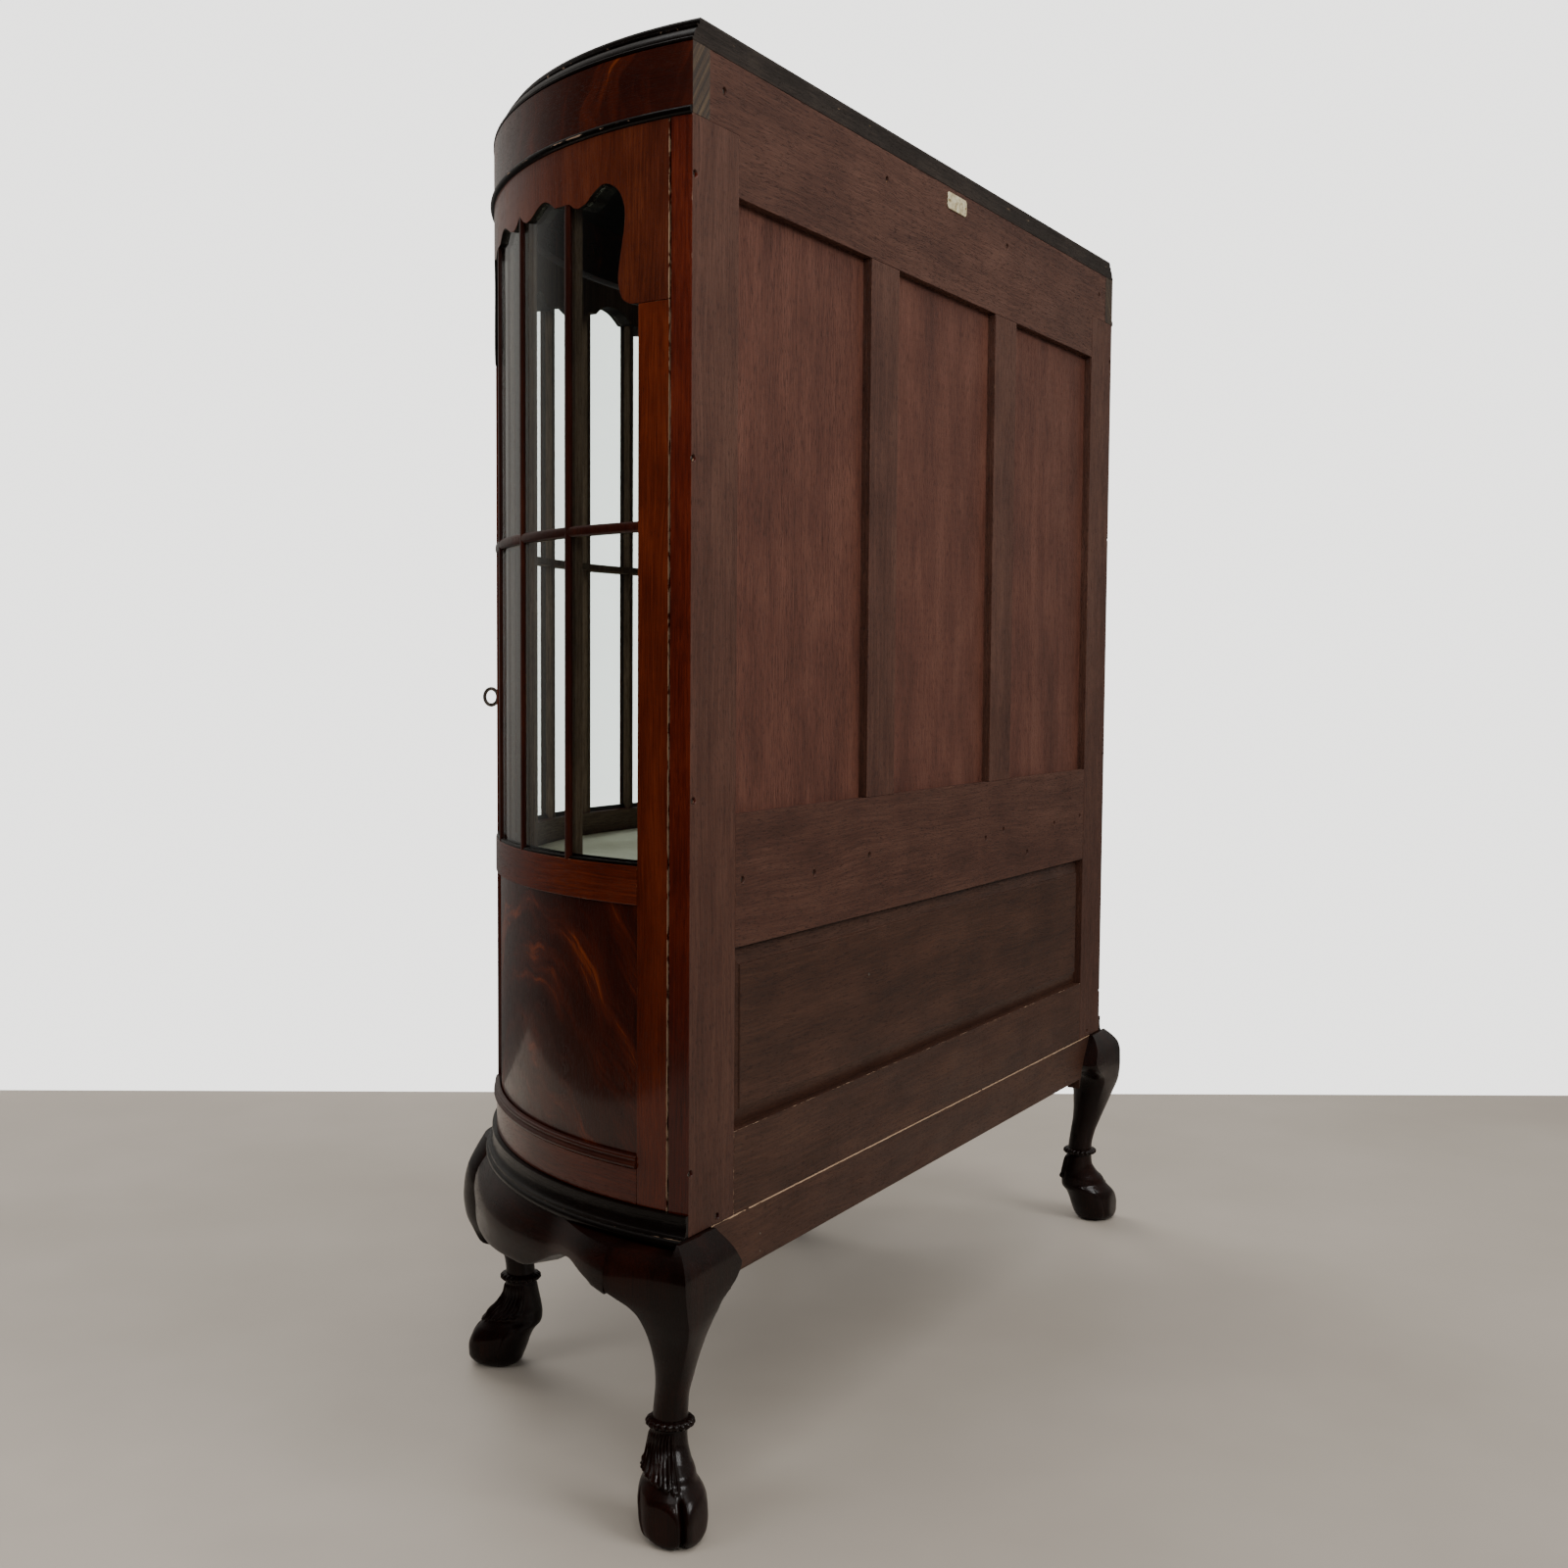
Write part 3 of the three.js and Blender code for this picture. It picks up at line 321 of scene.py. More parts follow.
POLISHED = wood("polished_mahogany", [(56, 17, 7), (86, 31, 12), (114, 48, 22)], 0.32, 0.5, 0.07, foot_shade=0.6)
STILE_EDGE = wood("stained_stile_edge", [(54, 15, 7), (82, 26, 12), (104, 40, 20)], 0.34, 0.5, 0.1, wear=0.6,
                  worn=(190, 160, 132), foot_shade=0.7)
FLAME = wood("flame_veneer", [(38, 12, 7), (72, 26, 12), (150, 70, 28)], 0.3, 0.55, 0.06, flame=0.8, wear=0.4,
             foot_shade=0.3)
CREST = wood("crossbanded_veneer", [(54, 21, 12), (82, 35, 20), (106, 52, 30)], 0.3, 0.5, 0.06,
             worn=(178, 146, 116))
BACKING = wood("back_mahogany", [(58, 34, 26), (76, 48, 38), (93, 63, 51)], 0.5, 0.0, 0.35, pores=0.8,
               worn=(150, 112, 82), wear=0.35, relief=0.8, specular=0.22, foot_shade=0.35)
PANEL = wood("panel_mahogany", [(64, 36, 28), (86, 51, 40), (104, 67, 54)], 0.48, 0.0, 0.3, pores=0.8,
             relief=0.8, specular=0.22, foot_shade=0.1)
# A darker copy of the back's mahogany for the rails and panel low on the back: painted shade, as less light
# falls there from above, with heavier wear.
LOWER_BACK_SHADED = wood("lower_back_mahogany_shaded", [(42, 24, 16), (57, 34, 24), (72, 46, 33)], 0.46, 0.0, 0.3,
                  pores=0.7, worn=(176, 146, 118), wear=0.7, relief=0.7, specular=0.2)
BASE = wood("base_mahogany", [(7, 2, 1), (16, 5, 3), (36, 12, 6)], 0.3, 0.24, 0.09, streaks=0.5,
            worn=(120, 74, 44), wear=0.3, specular=0.05)
EBONISED = wood("ebonised_wood", [(4, 2, 1), (8, 4, 3), (17, 9, 6)], 0.32, 0.22, 0.08, streaks=0.4,
                worn=(150, 124, 104), wear=0.4, specular=0.06)
BAR = wood("dark_bar_wood", [(26, 8, 5), (44, 16, 9), (66, 28, 16)], 0.32, 0.35, 0.1, streaks=0.6,
           worn=(120, 90, 72), wear=0.35)
CHARCOAL = wood("top_edge_wood", [(27, 22, 19), (40, 34, 30), (56, 48, 42)], 0.55, 0.0, 0.4,
                worn=(120, 100, 78), wear=0.3, relief=0.8)
# Unpolished inner wood, its tones raised as painted light, so that the inner faces seen through the glass read
# brighter than the light inside the case makes them.
INSIDE_LIGHTENED = wood("unpolished_inner_wood_lightened", [(78, 62, 48), (106, 88, 70), (130, 110, 90)], 0.6, 0.0, 0.3,
              wear=0.2, specular=0.3)
END_GRAIN = end_grain("sawn_end_grain")
GLASS = glass("window_glass")
BRASS = metal("aged_brass", (186, 150, 86), (96, 70, 36), 0.38)
STEEL = metal("dark_steel", (128, 122, 114), (60, 52, 46), 0.42)
LINING = cloth("lining_cloth")
IVORY = ivory("ivory_plate")

# ---- Mesh work. Every shape starts in millimetres ----


UP = (0, 1, 2)
ALONG = (2, 1, 0)
SIDEWAYS = (1, 2, 0)
COLUMN = 7


def shape():
    bm = bmesh.new()
    bm.verts.layers.float_vector.new("grain")
    bm.verts.layers.float.new("wear")
    return bm


def set_grain(bm, order, offset, centre=(0, 0, 0)):
    """Writes each point's place as (across the grain, through the board, along the grain)."""
    layer = bm.verts.layers.float_vector["grain"]
    for vert in bm.verts:
        place = vert.co - Vector(centre)
        vert[layer] = Vector([place[i] for i in order]) + offset
    return bm


def offset_of(name):
    """A fixed stretch of tree for each board, so that no two have the same grain."""
    code = zlib.crc32(name.encode())
    return Vector((code % 1013, code // 1013 % 1009, code // 100003 % 997)) * 3.7


def soften(bm, edges, width):
    """Rounds edges, and marks the middle of each round as a place that wears."""
    made = bmesh.ops.bevel(bm, geom=list(edges), offset=width, segments=2, profile=0.5,
                           affect="EDGES", clamp_overlap=True)
    rounds = {face for face in made["faces"] if face.is_valid}
    layer = bm.verts.layers.float["wear"]
    for vert in {vert for face in rounds for vert in face.verts}:
        if all(face in rounds for face in vert.link_faces):
            vert[layer] = 1.0


def bisect(bm, point, normal, **more):
    """Cuts every face that a plane passes through."""
    everything = [*bm.verts, *bm.edges, *bm.faces]
    return bmesh.ops.bisect_plane(bm, geom=everything, plane_co=point, plane_no=normal, **more)


def stations(start, end, step):
    count = max(1, math.ceil((end - start) / step))
    return [start + (end - start) * i / count for i in range(count + 1)]


def columns(bm, start, end):
    """Cuts a flat shape into narrow columns, so that it can bend round the case."""
    for place in stations(start, end, COLUMN)[1:-1]:
        bisect(bm, (place, 0, 0), (1, 0, 0))
    bmesh.ops.triangulate(bm, faces=[face for face in bm.faces if len(face.verts) > 4])


def bend_all(bm):
    for vert in bm.verts:
        vert.co = bend(*vert.co)
    return bm


def grained(bm, name):
    """A moulding with its grain along it, bent round the case."""
    return bend_all(set_grain(bm, ALONG, offset_of(name)))


def plate(outline, inner=-FRAME_DEPTH, outer=0, bevel=0.8):
    """Flat outline of (along, height) points, thickened between two outward distances."""
    bm = shape()
    verts = [bm.verts.new((along, inner, z)) for along, z in outline]
    face = bm.faces.new(verts)
    made = bmesh.ops.extrude_face_region(bm, geom=[face])
    moved = [item for item in made["geom"] if isinstance(item, bmesh.types.BMVert)]
    bmesh.ops.translate(bm, verts=moved, vec=(0, outer - inner, 0))
    bmesh.ops.recalc_face_normals(bm, faces=bm.faces)
    if bevel:
        soften(bm, [edge for edge in bm.edges if abs(edge.verts[0].co.y - edge.verts[1].co.y) < 1e-4], bevel)
    return bm


def block(lo, hi, bevel=0):
    bm = shape()
    bmesh.ops.create_cube(bm, size=1)
    lo, hi = Vector(lo), Vector(hi)
    for vert in bm.verts:
        vert.co = Vector([(lo[i] + hi[i]) / 2 + vert.co[i] * (hi[i] - lo[i]) for i in range(3)])
    if bevel:
        soften(bm, bm.edges, bevel)
    return bm


def skin(rings, wear_rows=()):
    """Skin over rings of points with flat ends."""
    bm = shape()
    layer = bm.verts.layers.float["wear"]
    rows = [[bm.verts.new(point) for point in ring] for ring in rings]
    count = len(rings[0])
    for first, second in zip(rows, rows[1:]):
        for i in range(count):
            n = (i + 1) % count
            bm.faces.new((first[i], first[n], second[n], second[i]))
    bm.faces.new(rows[0][::-1])
    bm.faces.new(rows[-1])
    for row in rows:
        for i in wear_rows:
            row[i][layer] = 1.0
    bmesh.ops.recalc_face_normals(bm, faces=bm.faces)
    return bm


def run(profile, start, end, step=COLUMN, wear_rows=()):
    """A moulding's (out, height) profile, laid flat from one length to another."""
    rings = [[Vector((along, out, z)) for out, z in profile] for along in stations(start, end, step)]
    return skin(rings, wear_rows=wear_rows)


def half_ellipse(out, back, count=150):
    """The case's plan, that far out, up to a straight line at y = back."""
    first = math.asin((BACK - back) / (CASE_DEPTH + out))
    angles = np.linspace(first, math.pi - first, count)
    return [((HALF_WIDTH + out) * math.cos(a), BACK - (CASE_DEPTH + out) * math.sin(a)) for a in angles]


def plan_board(name, levels, back):
    """A half-elliptical board; levels give how far out its edge stands at each height."""
    bm = skin([[Vector((x, y, z)) for x, y in half_ellipse(out, back)] for out, z in levels])
    return set_grain(bm, SIDEWAYS, offset_of(name))


def arc(centre, radius, start, end, count):
    """Points on a round stretch of a profile, angles in degrees."""
    angles = np.radians(np.linspace(start, end, count))
    return [(centre[0] + radius * math.cos(a), centre[1] + radius * math.sin(a)) for a in angles]


def as_mesh(bm, name):
    mesh = bpy.data.meshes.new(name)
    bm.to_mesh(mesh)
    bm.free()
    return mesh


def add(name, data):
    made = bpy.data.objects.new(name, data)
    scene.collection.objects.link(made)
    return made


def join(bm, other):
    """Adds another shape's faces, with their grain and wear."""
    mesh = as_mesh(other, "joined")
    bm.from_mesh(mesh)
    bpy.data.meshes.remove(mesh)
    return bm


def piece(name, bm, slot, *materials, body="carcass", sharp=32):
    """Makes an object of a shape. NAME_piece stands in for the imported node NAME."""
    bmesh.ops.remove_doubles(bm, verts=bm.verts, dist=0.0005)
    bmesh.ops.dissolve_degenerate(bm, edges=bm.edges, dist=0.0005)
    limit = math.radians(sharp)
    for edge in bm.edges:
        edge.smooth = len(edge.link_faces) == 2 and edge.calc_face_angle(0) < limit
    for face in bm.faces:
        face.smooth = True
    mesh = as_mesh(bm, name)
    mesh.transform(Matrix.Scale(MM, 4))
    for material in materials:
        mesh.materials.append(material)
    made = add(name, mesh)
    made.modifiers.new("normals", "WEIGHTED_NORMAL").keep_sharp = True
    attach(made, body)
    if name.endswith("_piece"):
        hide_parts(name.removesuffix("_piece"))
    return made


def bent_piece(name, bm, slot, *materials, order=UP, centre=None, **more):
    """A flat shape of (along, out, z), cut into columns, given its grain and bent round the case."""
    alongs = [vert.co.x for vert in bm.verts]
    columns(bm, min(alongs), max(alongs))
    if centre is None:
        set_grain(bm, order, offset_of(name))
    else:
        set_grain(bm, order, Vector((0, 0, 0)), centre)
    return piece(name, bend_all(bm), slot, *materials, **more)


def rectangle(left, right, bottom, top):
    return [(left, bottom), (right, bottom), (right, top), (left, top)]


def spline(knots, steps=8):
    """Points on a smooth curve through the knots."""
    points = [np.array(knot, float) for knot in knots]
    made = []
    for i in range(len(points) - 1):
        p0, p1 = points[max(i - 1, 0)], points[i]
        p2, p3 = points[i + 1], points[min(i + 2, len(points) - 1)]
        v0, v1 = (p2 - p0) / 2, (p3 - p1) / 2
        for k in range(steps):
            t = k / steps
            bend_part = (3 * p2 - 3 * p1 - 2 * v0 - v1) * t ** 2
            made.append((2 * p1 - 2 * p2 + v0 + v1) * t ** 3 + bend_part + v0 * t + p1)
    return [tuple(p) for p in made] + [tuple(points[-1])]


def carve(bm, *cutters):
    """Cuts closed shapes out of a shape."""
    body = add("carved", as_mesh(bm, "carved"))
    tools = [add("cutter", as_mesh(cutter, "cutter")) for cutter in cutters]
    for tool in tools:
        cut = body.modifiers.new("cut", "BOOLEAN")
        cut.operation = "DIFFERENCE"
        cut.solver = "EXACT"
        cut.object = tool
    result = bmesh.new()
    result.from_object(body, bpy.context.evaluated_depsgraph_get())
    for item in [body, *tools]:
        mesh = item.data
        bpy.data.objects.remove(item)
        bpy.data.meshes.remove(mesh)
    return result


def paint(bm, index, chosen):
    """Gives the second or a later material to the faces that chosen(face) picks."""
    bm.normal_update()
    for face in bm.faces:
        if chosen(face):
            face.material_index = index


def turned(profile, axis="Z", sides=24):
    """A turned shape from (radius, height) points."""
    circle = [(math.cos(a), math.sin(a)) for a in np.linspace(0, 2 * math.pi, sides, False)]
    bm = skin([[Vector((radius * x, radius * y, z)) for x, y in circle] for radius, z in profile])
    if axis == "Y":
        bmesh.ops.rotate(bm, verts=bm.verts, matrix=Matrix.Rotation(-math.pi / 2, 3, "X"))
    return bm


def placed(bm, matrix):
    bmesh.ops.transform(bm, matrix=matrix, verts=bm.verts)
    return bm


def moved(bm, *by):
    return placed(bm, Matrix.Translation(by))


# ---- Glazed frames ----

EAR = [(9, 1027.5), (18, 1033), (22.3, 1045), (22, 1058), (18.5, 1076), (15.2, 1095), (16, 1109), (22, 1121),
       (32, 1128), (42, 1129.5), (54, 1124), (63, 1118), (73.5, 1115.3)]
SIDE_CRESTS = [
    EAR, [(73.5, 1115.3), (80, 1117), (87, 1121.5)],
    [(110, 1122.4), (117, 1127), (125, 1130.8), (133, 1131.5), (143, 1128.5), (155, 1123.5), (166, 1121.6)],
    [(166, 1121.6), (174, 1124), (184, 1131)],
]
DOOR_CRESTS = [
    EAR, [(73.5, 1115.3), (80, 1117), (87, 1121.5)],
    [(105, 1123), (112, 1128), (121, 1132.5), (130, 1133), (141, 1130), (153, 1126.5), (165, 1125)],
    [(165, 1125), (172, 1127.5), (180, 1131.5)],
    [(196, 1132.5), (204, 1138), (213, 1142.5), (223, 1145.2), (233.8, 1146)],
]


def raised(profile, z):
    """A profile whose heights are given from z up."""
    return [(out, z + up) for out, up in profile]


PANEL_BEAD = [(-3.2, BOTTOM_RAIL_TOP - 1.7), (0.6, BOTTOM_RAIL_TOP - 1.7),
              *arc((0.4, BOTTOM_RAIL_TOP + 1.0), 2.5, -70, 60, 7), (1.3, BOTTOM_RAIL_TOP + 4),
              *arc((-0.4, BOTTOM_RAIL_TOP + 6.8), 2.3, -50, 90, 6), (-3.2, BEAD_TOP - 0.6)]
COCK_BEAD = raised([(-8, -4.4), *arc((-6.4, -2.3), 1.9, -80, 80, 6), (-8, -0.2)], MID_RAIL[0])
INNER_STRIP = raised([(-9.5, -0.4), (-7.4, 4.4), (-7.1, 4.4), (-7.1, -0.4)], MID_RAIL[1])
OUTER_STRIP = raised([(-3.9, -0.4), (-0.8, -0.4), *arc((-2.4, 1.2), 1.6, 0, 90, 5), (-3.9, 2.8)], MID_RAIL[1])
GLASS_FACES = (-6.8, -4.2)
PANEL_FACES = (-15, -4.5)
STRIKE_DEPTH = 12


def crest_line(stretches, width):
    half = [(0, EAR_FOOT)]
    for knots in stretches:
        for x, z in spline(knots, 4):
            if math.hypot(x - half[-1][0], z - half[-1][1]) > 0.9:
                half.append((x, z))
    half[-1] = (width / 2, half[-1][1])
    return half + [(width - x, z) for x, z in half[-2::-1]]


def crest_height(line, x):
    return min(z + (z2 - z) * (x - a) / (b - a) for (a, z), (b, z2) in zip(line, line[1:]) if a <= x < b)


def wear_edges(bm):
    """Marks the arris beside each back stile, where the polish has gone."""
    for place in (SIDE_START, ARC_TOTAL - SIDE_START):
        for side in (-1.0, -0.3, 0.3, 1.0):
            bisect(bm, (place + side, 0, 0), (1, 0, 0))
        layer = bm.verts.layers.float["wear"]
        for vert in bm.verts:
            if abs(vert.co.x - place) < 0.6 and vert.co.y > -3:
                vert[layer] = 1.3


def inner_face(face):
    return face.normal.y < -0.7


def bar(corners, crown, upright):
    """A glazing bar: crowned outside the glass, with its plain rib behind it."""
    across, (start, end) = corners if upright else corners[::-1]
    middle, half = (across[0] + across[1]) / 2, (across[1] - across[0]) / 2
    turns = np.radians(np.linspace(-75, 75, 7))
    crowned = [(half * 0.9 * math.sin(a), -1.5 + crown * math.cos(a)) for a in turns]
    sections = [
        [(-half, -3.6), (-half, -1.5), *crowned, (half, -1.5), (half, -3.6)],
        [(-half, -7.2), (half, -7.2), (half - 0.6, -14.6), (half - 1.2, -15.2), (1.2 - half, -15.2),
         (0.6 - half, -14.6)],
    ]
    bm = shape()
    for section in sections:
        rings = []
        for place in stations(start, end, 60 if upright else 8):
            rings.append([Vector((middle + u, out, place) if upright else (place, out, middle + u))
                          for u, out in section])
        join(bm, skin(rings))
    return bm


def glazed_frame(prefix, body, names, start, end, stiles, panes, crests, bottom, top):
    left, right = start + stiles[0], end - stiles[1]
    width = right - left
    line = crest_line(crests, width)
    middle = (left + right) / 2
    span = (left + 0.15, right - 0.15)
    crest = [(left + x, z) for x, z in line]

    bm = plate([(start, top), (start, EAR_FOOT), *crest, (end, EAR_FOOT), (end, top)], bevel=0.55)
    paint(bm, 1, lambda f: abs(f.normal.y) < 0.6 and start + 1 < f.calc_center_median().x < end - 1
          and f.calc_center_median().z < top - 1)
    paint(bm, 2, inner_face)
    wear_edges(bm)
    bent_piece(f"{prefix}_top_rail_piece", bm, "flame_veneer", CREST, EBONISED, INSIDE_LIGHTENED, body=body,
               centre=(middle, 0, 1150))

    for name, (a, b) in zip(names, ((start, left), (right, end))):
        bm = plate(rectangle(a, b, bottom, EAR_FOOT - 0.15))
        paint(bm, 1, lambda f: abs(f.normal.x) > 0.7)
        paint(bm, 2, inner_face)
        wear_edges(bm)
        if name == "lock_stile":
            bm = lock_openings(bm)
        if (prefix, name) == ("side_right", "front_stile"):
            bm = carve(bm, block((b - STRIKE_DEPTH, -16.6, LOCK_Z - 1), (b + 2, -10.4, LOCK_Z + 11)))
        bent_piece(f"{prefix}_{name}_piece", bm, "polished_mahogany", POLISHED, STILE_EDGE, INSIDE_LIGHTENED, body=body)

    bm = plate(rectangle(*span, *MID_RAIL))
    paint(bm, 1, inner_face)
    bent_piece(f"{prefix}_mid_rail_piece", bm, "polished_mahogany", POLISHED, INSIDE_LIGHTENED, body=body, order=ALONG)
    bm = plate(rectangle(*span, bottom, BOTTOM_RAIL_TOP - 2))
    bent_piece(f"{prefix}_bottom_rail_piece", bm, "polished_mahogany", POLISHED, body=body, order=ALONG)
    bm = grained(run(PANEL_BEAD, *span), prefix + "bead")
    piece(f"{prefix}_panel_bead", bm, "polished_mahogany", BAR, body=body)
    bm = grained(run(COCK_BEAD, *span), prefix + "top_bead")
    piece(f"{prefix}_panel_cock_bead", bm, "ebonised_wood", EBONISED, body=body)

    bm = plate(rectangle(*span, BOTTOM_RAIL_TOP - 1.5, MID_RAIL[0] - 0.3), *PANEL_FACES, 0)
    bent_piece(f"{prefix}_panel_piece", bm, "flame_veneer", FLAME, body=body, centre=(middle, 0, 400))

    sill = MID_RAIL[1] - 1
    bm = shape()
    for i in range(1, panes):
        centre = left + width * i / panes
        head = max(crest_height(line, centre - left + side * 4) for side in (-1, 0, 1)) + 2
        join(bm, bar(((centre - BAR_WIDTH / 2, centre + BAR_WIDTH / 2), (sill, head)), 1.5, True))
    join(bm, bar((span, (BAR_HEIGHT - 4.3, BAR_HEIGHT + 4.3)), 1.42, False))
    set_grain(bm, UP, offset_of(prefix + "bars"))
    paint(bm, 1, lambda f: f.calc_center_median().y < -7)
    bend_all(bm)
    piece(f"{prefix}_bars_piece", bm, "polished_mahogany", BAR, INSIDE_LIGHTENED, body=body)

    outline = [(left, sill), (left, EAR_FOOT), *crest[1:-1], (right, EAR_FOOT), (right, sill)]
    bm = plate(outline, *GLASS_FACES, 0)
    bent_piece(f"{prefix}_glass_piece", bm, "clear_glass", GLASS, body=body, sharp=60)

    bm = grained(join(run(INNER_STRIP, *span), run(OUTER_STRIP, *span)), prefix + "strip")
    piece(f"{prefix}_glazing_strip", bm, "ebonised_wood", EBONISED, body=body)


# ---- Lock, key and escutcheon on the door's right stile ----

LOCK_ALONG = DOOR_START + FRONT_STILE / 2
LOCK_Z = 706
KEY_Z = -8
LOCK_SEAT = seat(LOCK_ALONG, LOCK_Z)
BOW_DEPTH = 7.0
BOW_HEIGHT = 8.6


def keyhole(along, z, inner, outer):
    """The slot and the round eye of a keyhole, to be cut out."""
    slot = block((along - 1.6, inner, z - 7.6), (along + 1.6, outer, z))
    return slot, moved(turned([(3.2, inner), (3.2, outer)], "Y", 20), along, 0, z)


def lock_openings(bm):
    """The keyhole through the stile and the hollow for the lock case."""
    case = block((LOCK_ALONG - 22.3, -30, LOCK_Z - 17.3), (LOCK_ALONG + 18.3, -8.7, LOCK_Z + 17.3))
    bolt = block((LOCK_ALONG - 40, -15.8, LOCK_Z - 0.3), (LOCK_ALONG - 20, -11.2, LOCK_Z + 10.3))
    return carve(bm, case, bolt, *keyhole(LOCK_ALONG, LOCK_Z + KEY_Z, -12, 3))


def escutcheon():
    rings = []
    for scale, out in ((1.0, 0.35), (1.0, 0.9), (0.93, 1.35), (0.8, 1.55), (0.55, 1.5)):
        rings.append([Vector((8 * scale * math.sin(a), out, KEY_Z + 15 * scale * math.cos(a)))
                      for a in np.linspace(0, 2 * math.pi, 48, False)])
    slot, eye = keyhole(0, KEY_Z, -4, 6)
    bm = carve(skin(rings), eye, slot)
    for z in (KEY_Z + 11.3, KEY_Z - 11.3):
        pin = turned([(1.5, 1.0), (1.5, 1.5), (1.1, 2.0), (0.4, 2.2)], "Y", 16)
        join(bm, moved(pin, 0, 0, z))
    return piece("escutcheon_piece", placed(bm, LOCK_SEAT), "aged_brass", BRASS, body="door")


def key():
    profile = [(1.4, -13.4), (2.3, -13.0), (2.3, 4.2), (3.0, 4.6), (3.0, 5.6), (2.2, 6.0), (2.2, 7.0),
               (3.0, 7.4), (3.0, 8.2), (2.2, 8.8), (2.0, 10.4)]
    bm = turned(profile, "Y", 20)
    rings = []
    for a in np.linspace(0, 2 * math.pi, 40, False):
        centre = Vector((0, 18 - BOW_DEPTH * math.cos(a), BOW_HEIGHT * math.sin(a)))
        normal = Vector((0, -BOW_HEIGHT * math.cos(a), BOW_DEPTH * math.sin(a))).normalized()
        rings.append([centre + normal * 1.9 * math.cos(b) + Vector((1.4 * math.sin(b), 0, 0))
                      for b in np.linspace(0, 2 * math.pi, 12, False)])
    bow = shape()
    rows = [[bow.verts.new(point) for point in ring] for ring in rings]
    for first, second in zip(rows, rows[1:] + rows[:1]):
        for i in range(12):
            n = (i + 1) % 12
            bow.faces.new((first[i], first[n], second[n], second[i]))
    bmesh.ops.recalc_face_normals(bow, faces=bow.faces)
    join(bm, bow)
    join(bm, block((-1.15, -12.8, -6.5), (1.15, -9.6, -1.5), 0.3))
    placed(bm, LOCK_SEAT @ Matrix.Translation((0, 0, KEY_Z)))
    return piece("key_piece", bm, "dark_steel", STEEL, body="turning_key")


# ---- Hinges, on the left of the door ----

HINGE_ALONG = ARC_TOTAL - SIDE_END - DOOR_GAP / 2
HINGE_AXIS = 3.4
LEAF_HEIGHT = 50
LEAF_DEPTH = 15
LEAF_THICKNESS = 1.4


def knuckle(z0, z1):
    profile = [(2.2, z0), (2.8, z0 + 0.25), (3.0, z0 + 0.7), (3.0, z1 - 0.7), (2.8, z1 - 0.25), (2.2, z1)]
    return moved(turned(profile, sides=28), 0, HINGE_AXIS, 0)


def hinge(place, height):
    frame_here = seat(HINGE_ALONG, height)
    fixed = [(-25, -15.2), (-4.8, 4.8), (15.2, 25)]
    moving = [(-14.8, -5.2), (5.2, 14.8)]
    for side, rows, kind, body in ((1, fixed, "fixed", "carcass"), (-1, moving, "moving", "door")):
        face = side * 0.3
        faces = sorted([face, face + side * LEAF_THICKNESS])
        bm = block((faces[0], -LEAF_DEPTH, -LEAF_HEIGHT / 2), (faces[1], 0.1, LEAF_HEIGHT / 2), 0.2)
        for z0, z1 in rows:
            join(bm, block((faces[0], 0, z0 + 0.1), (faces[1], 2.6, z1 - 0.1), 0.15))
            join(bm, knuckle(z0, z1))
        if kind == "fixed":
            for end in (1, -1):
                tip = [(1.4, 24.8), (2.2, 25.1), (2.3, 25.7), (1.6, 26.3), (0.5, 26.5)]
                finial = placed(turned(tip, sides=20), Matrix.Scale(end, 4, (0, 0, 1)))
                bmesh.ops.recalc_face_normals(finial, faces=finial.faces)
                join(bm, moved(finial, 0, HINGE_AXIS, 0))
        for z in (-17, 0, 17) if kind == "moving" else (-10, 10):
            head = turned([(2.2, -0.2), (2.1, 0.1), (1.0, 0.3), (0.3, 0.3)], sides=16)
            turn = Matrix.Rotation(side * math.pi / 2, 4, "Y")
            join(bm, placed(head, Matrix.Translation((face, -8, z)) @ turn.inverted()))
        piece(f"hinge_{place}_{kind}_leaf_piece", placed(bm, frame_here), "aged_brass", BRASS, body=body)


side_widths = (SIDE_BACK_STILE, FRONT_STILE)
glazed_frame("side_right", "carcass", ("back_stile", "front_stile"), SIDE_START, SIDE_END, side_widths,
             SIDE_PANES, SIDE_CRESTS, FRAME_BOTTOM, FRAME_TOP)
glazed_frame("side_left", "carcass", ("front_stile", "back_stile"), ARC_TOTAL - SIDE_END,
             ARC_TOTAL - SIDE_START, side_widths[::-1], SIDE_PANES, SIDE_CRESTS, FRAME_BOTTOM, FRAME_TOP)
glazed_frame("door", "door", ("lock_stile", "hinge_stile"), DOOR_START, ARC_TOTAL - DOOR_START,
             (FRONT_STILE, FRONT_STILE), DOOR_PANES, DOOR_CRESTS, DOOR_BOTTOM, DOOR_TOP)
escutcheon()
key()
for place, height in (("lower", 375), ("upper", 1095)):
    hinge(place, height)
for name, material in (("lock_case", BRASS), ("lock_bolt", STEEL)):
    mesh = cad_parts[name].data
    mesh.materials.clear()
    mesh.materials.append(material)

# ---- Frieze and top board ----

frieze_profile = [(-27.5, FRIEZE[0]), (-0.5, FRIEZE[0]), (0, FRIEZE[0] + 0.5), (0, FRIEZE[1] - 0.5),
                  (-0.5, FRIEZE[1]), (-27.5, FRIEZE[1])]
bm = run(frieze_profile, 0, ARC_TOTAL, 6)
set_grain(bm, ALONG, Vector((-FRIEZE[0], 0, 310)))
bend_all(bm)
paint(bm, 1, lambda f: f.normal.y > 0.9 and abs(f.calc_center_median().y - BACK) < 1)
piece("frieze_piece", bm, "flame_veneer", FLAME, END_GRAIN)

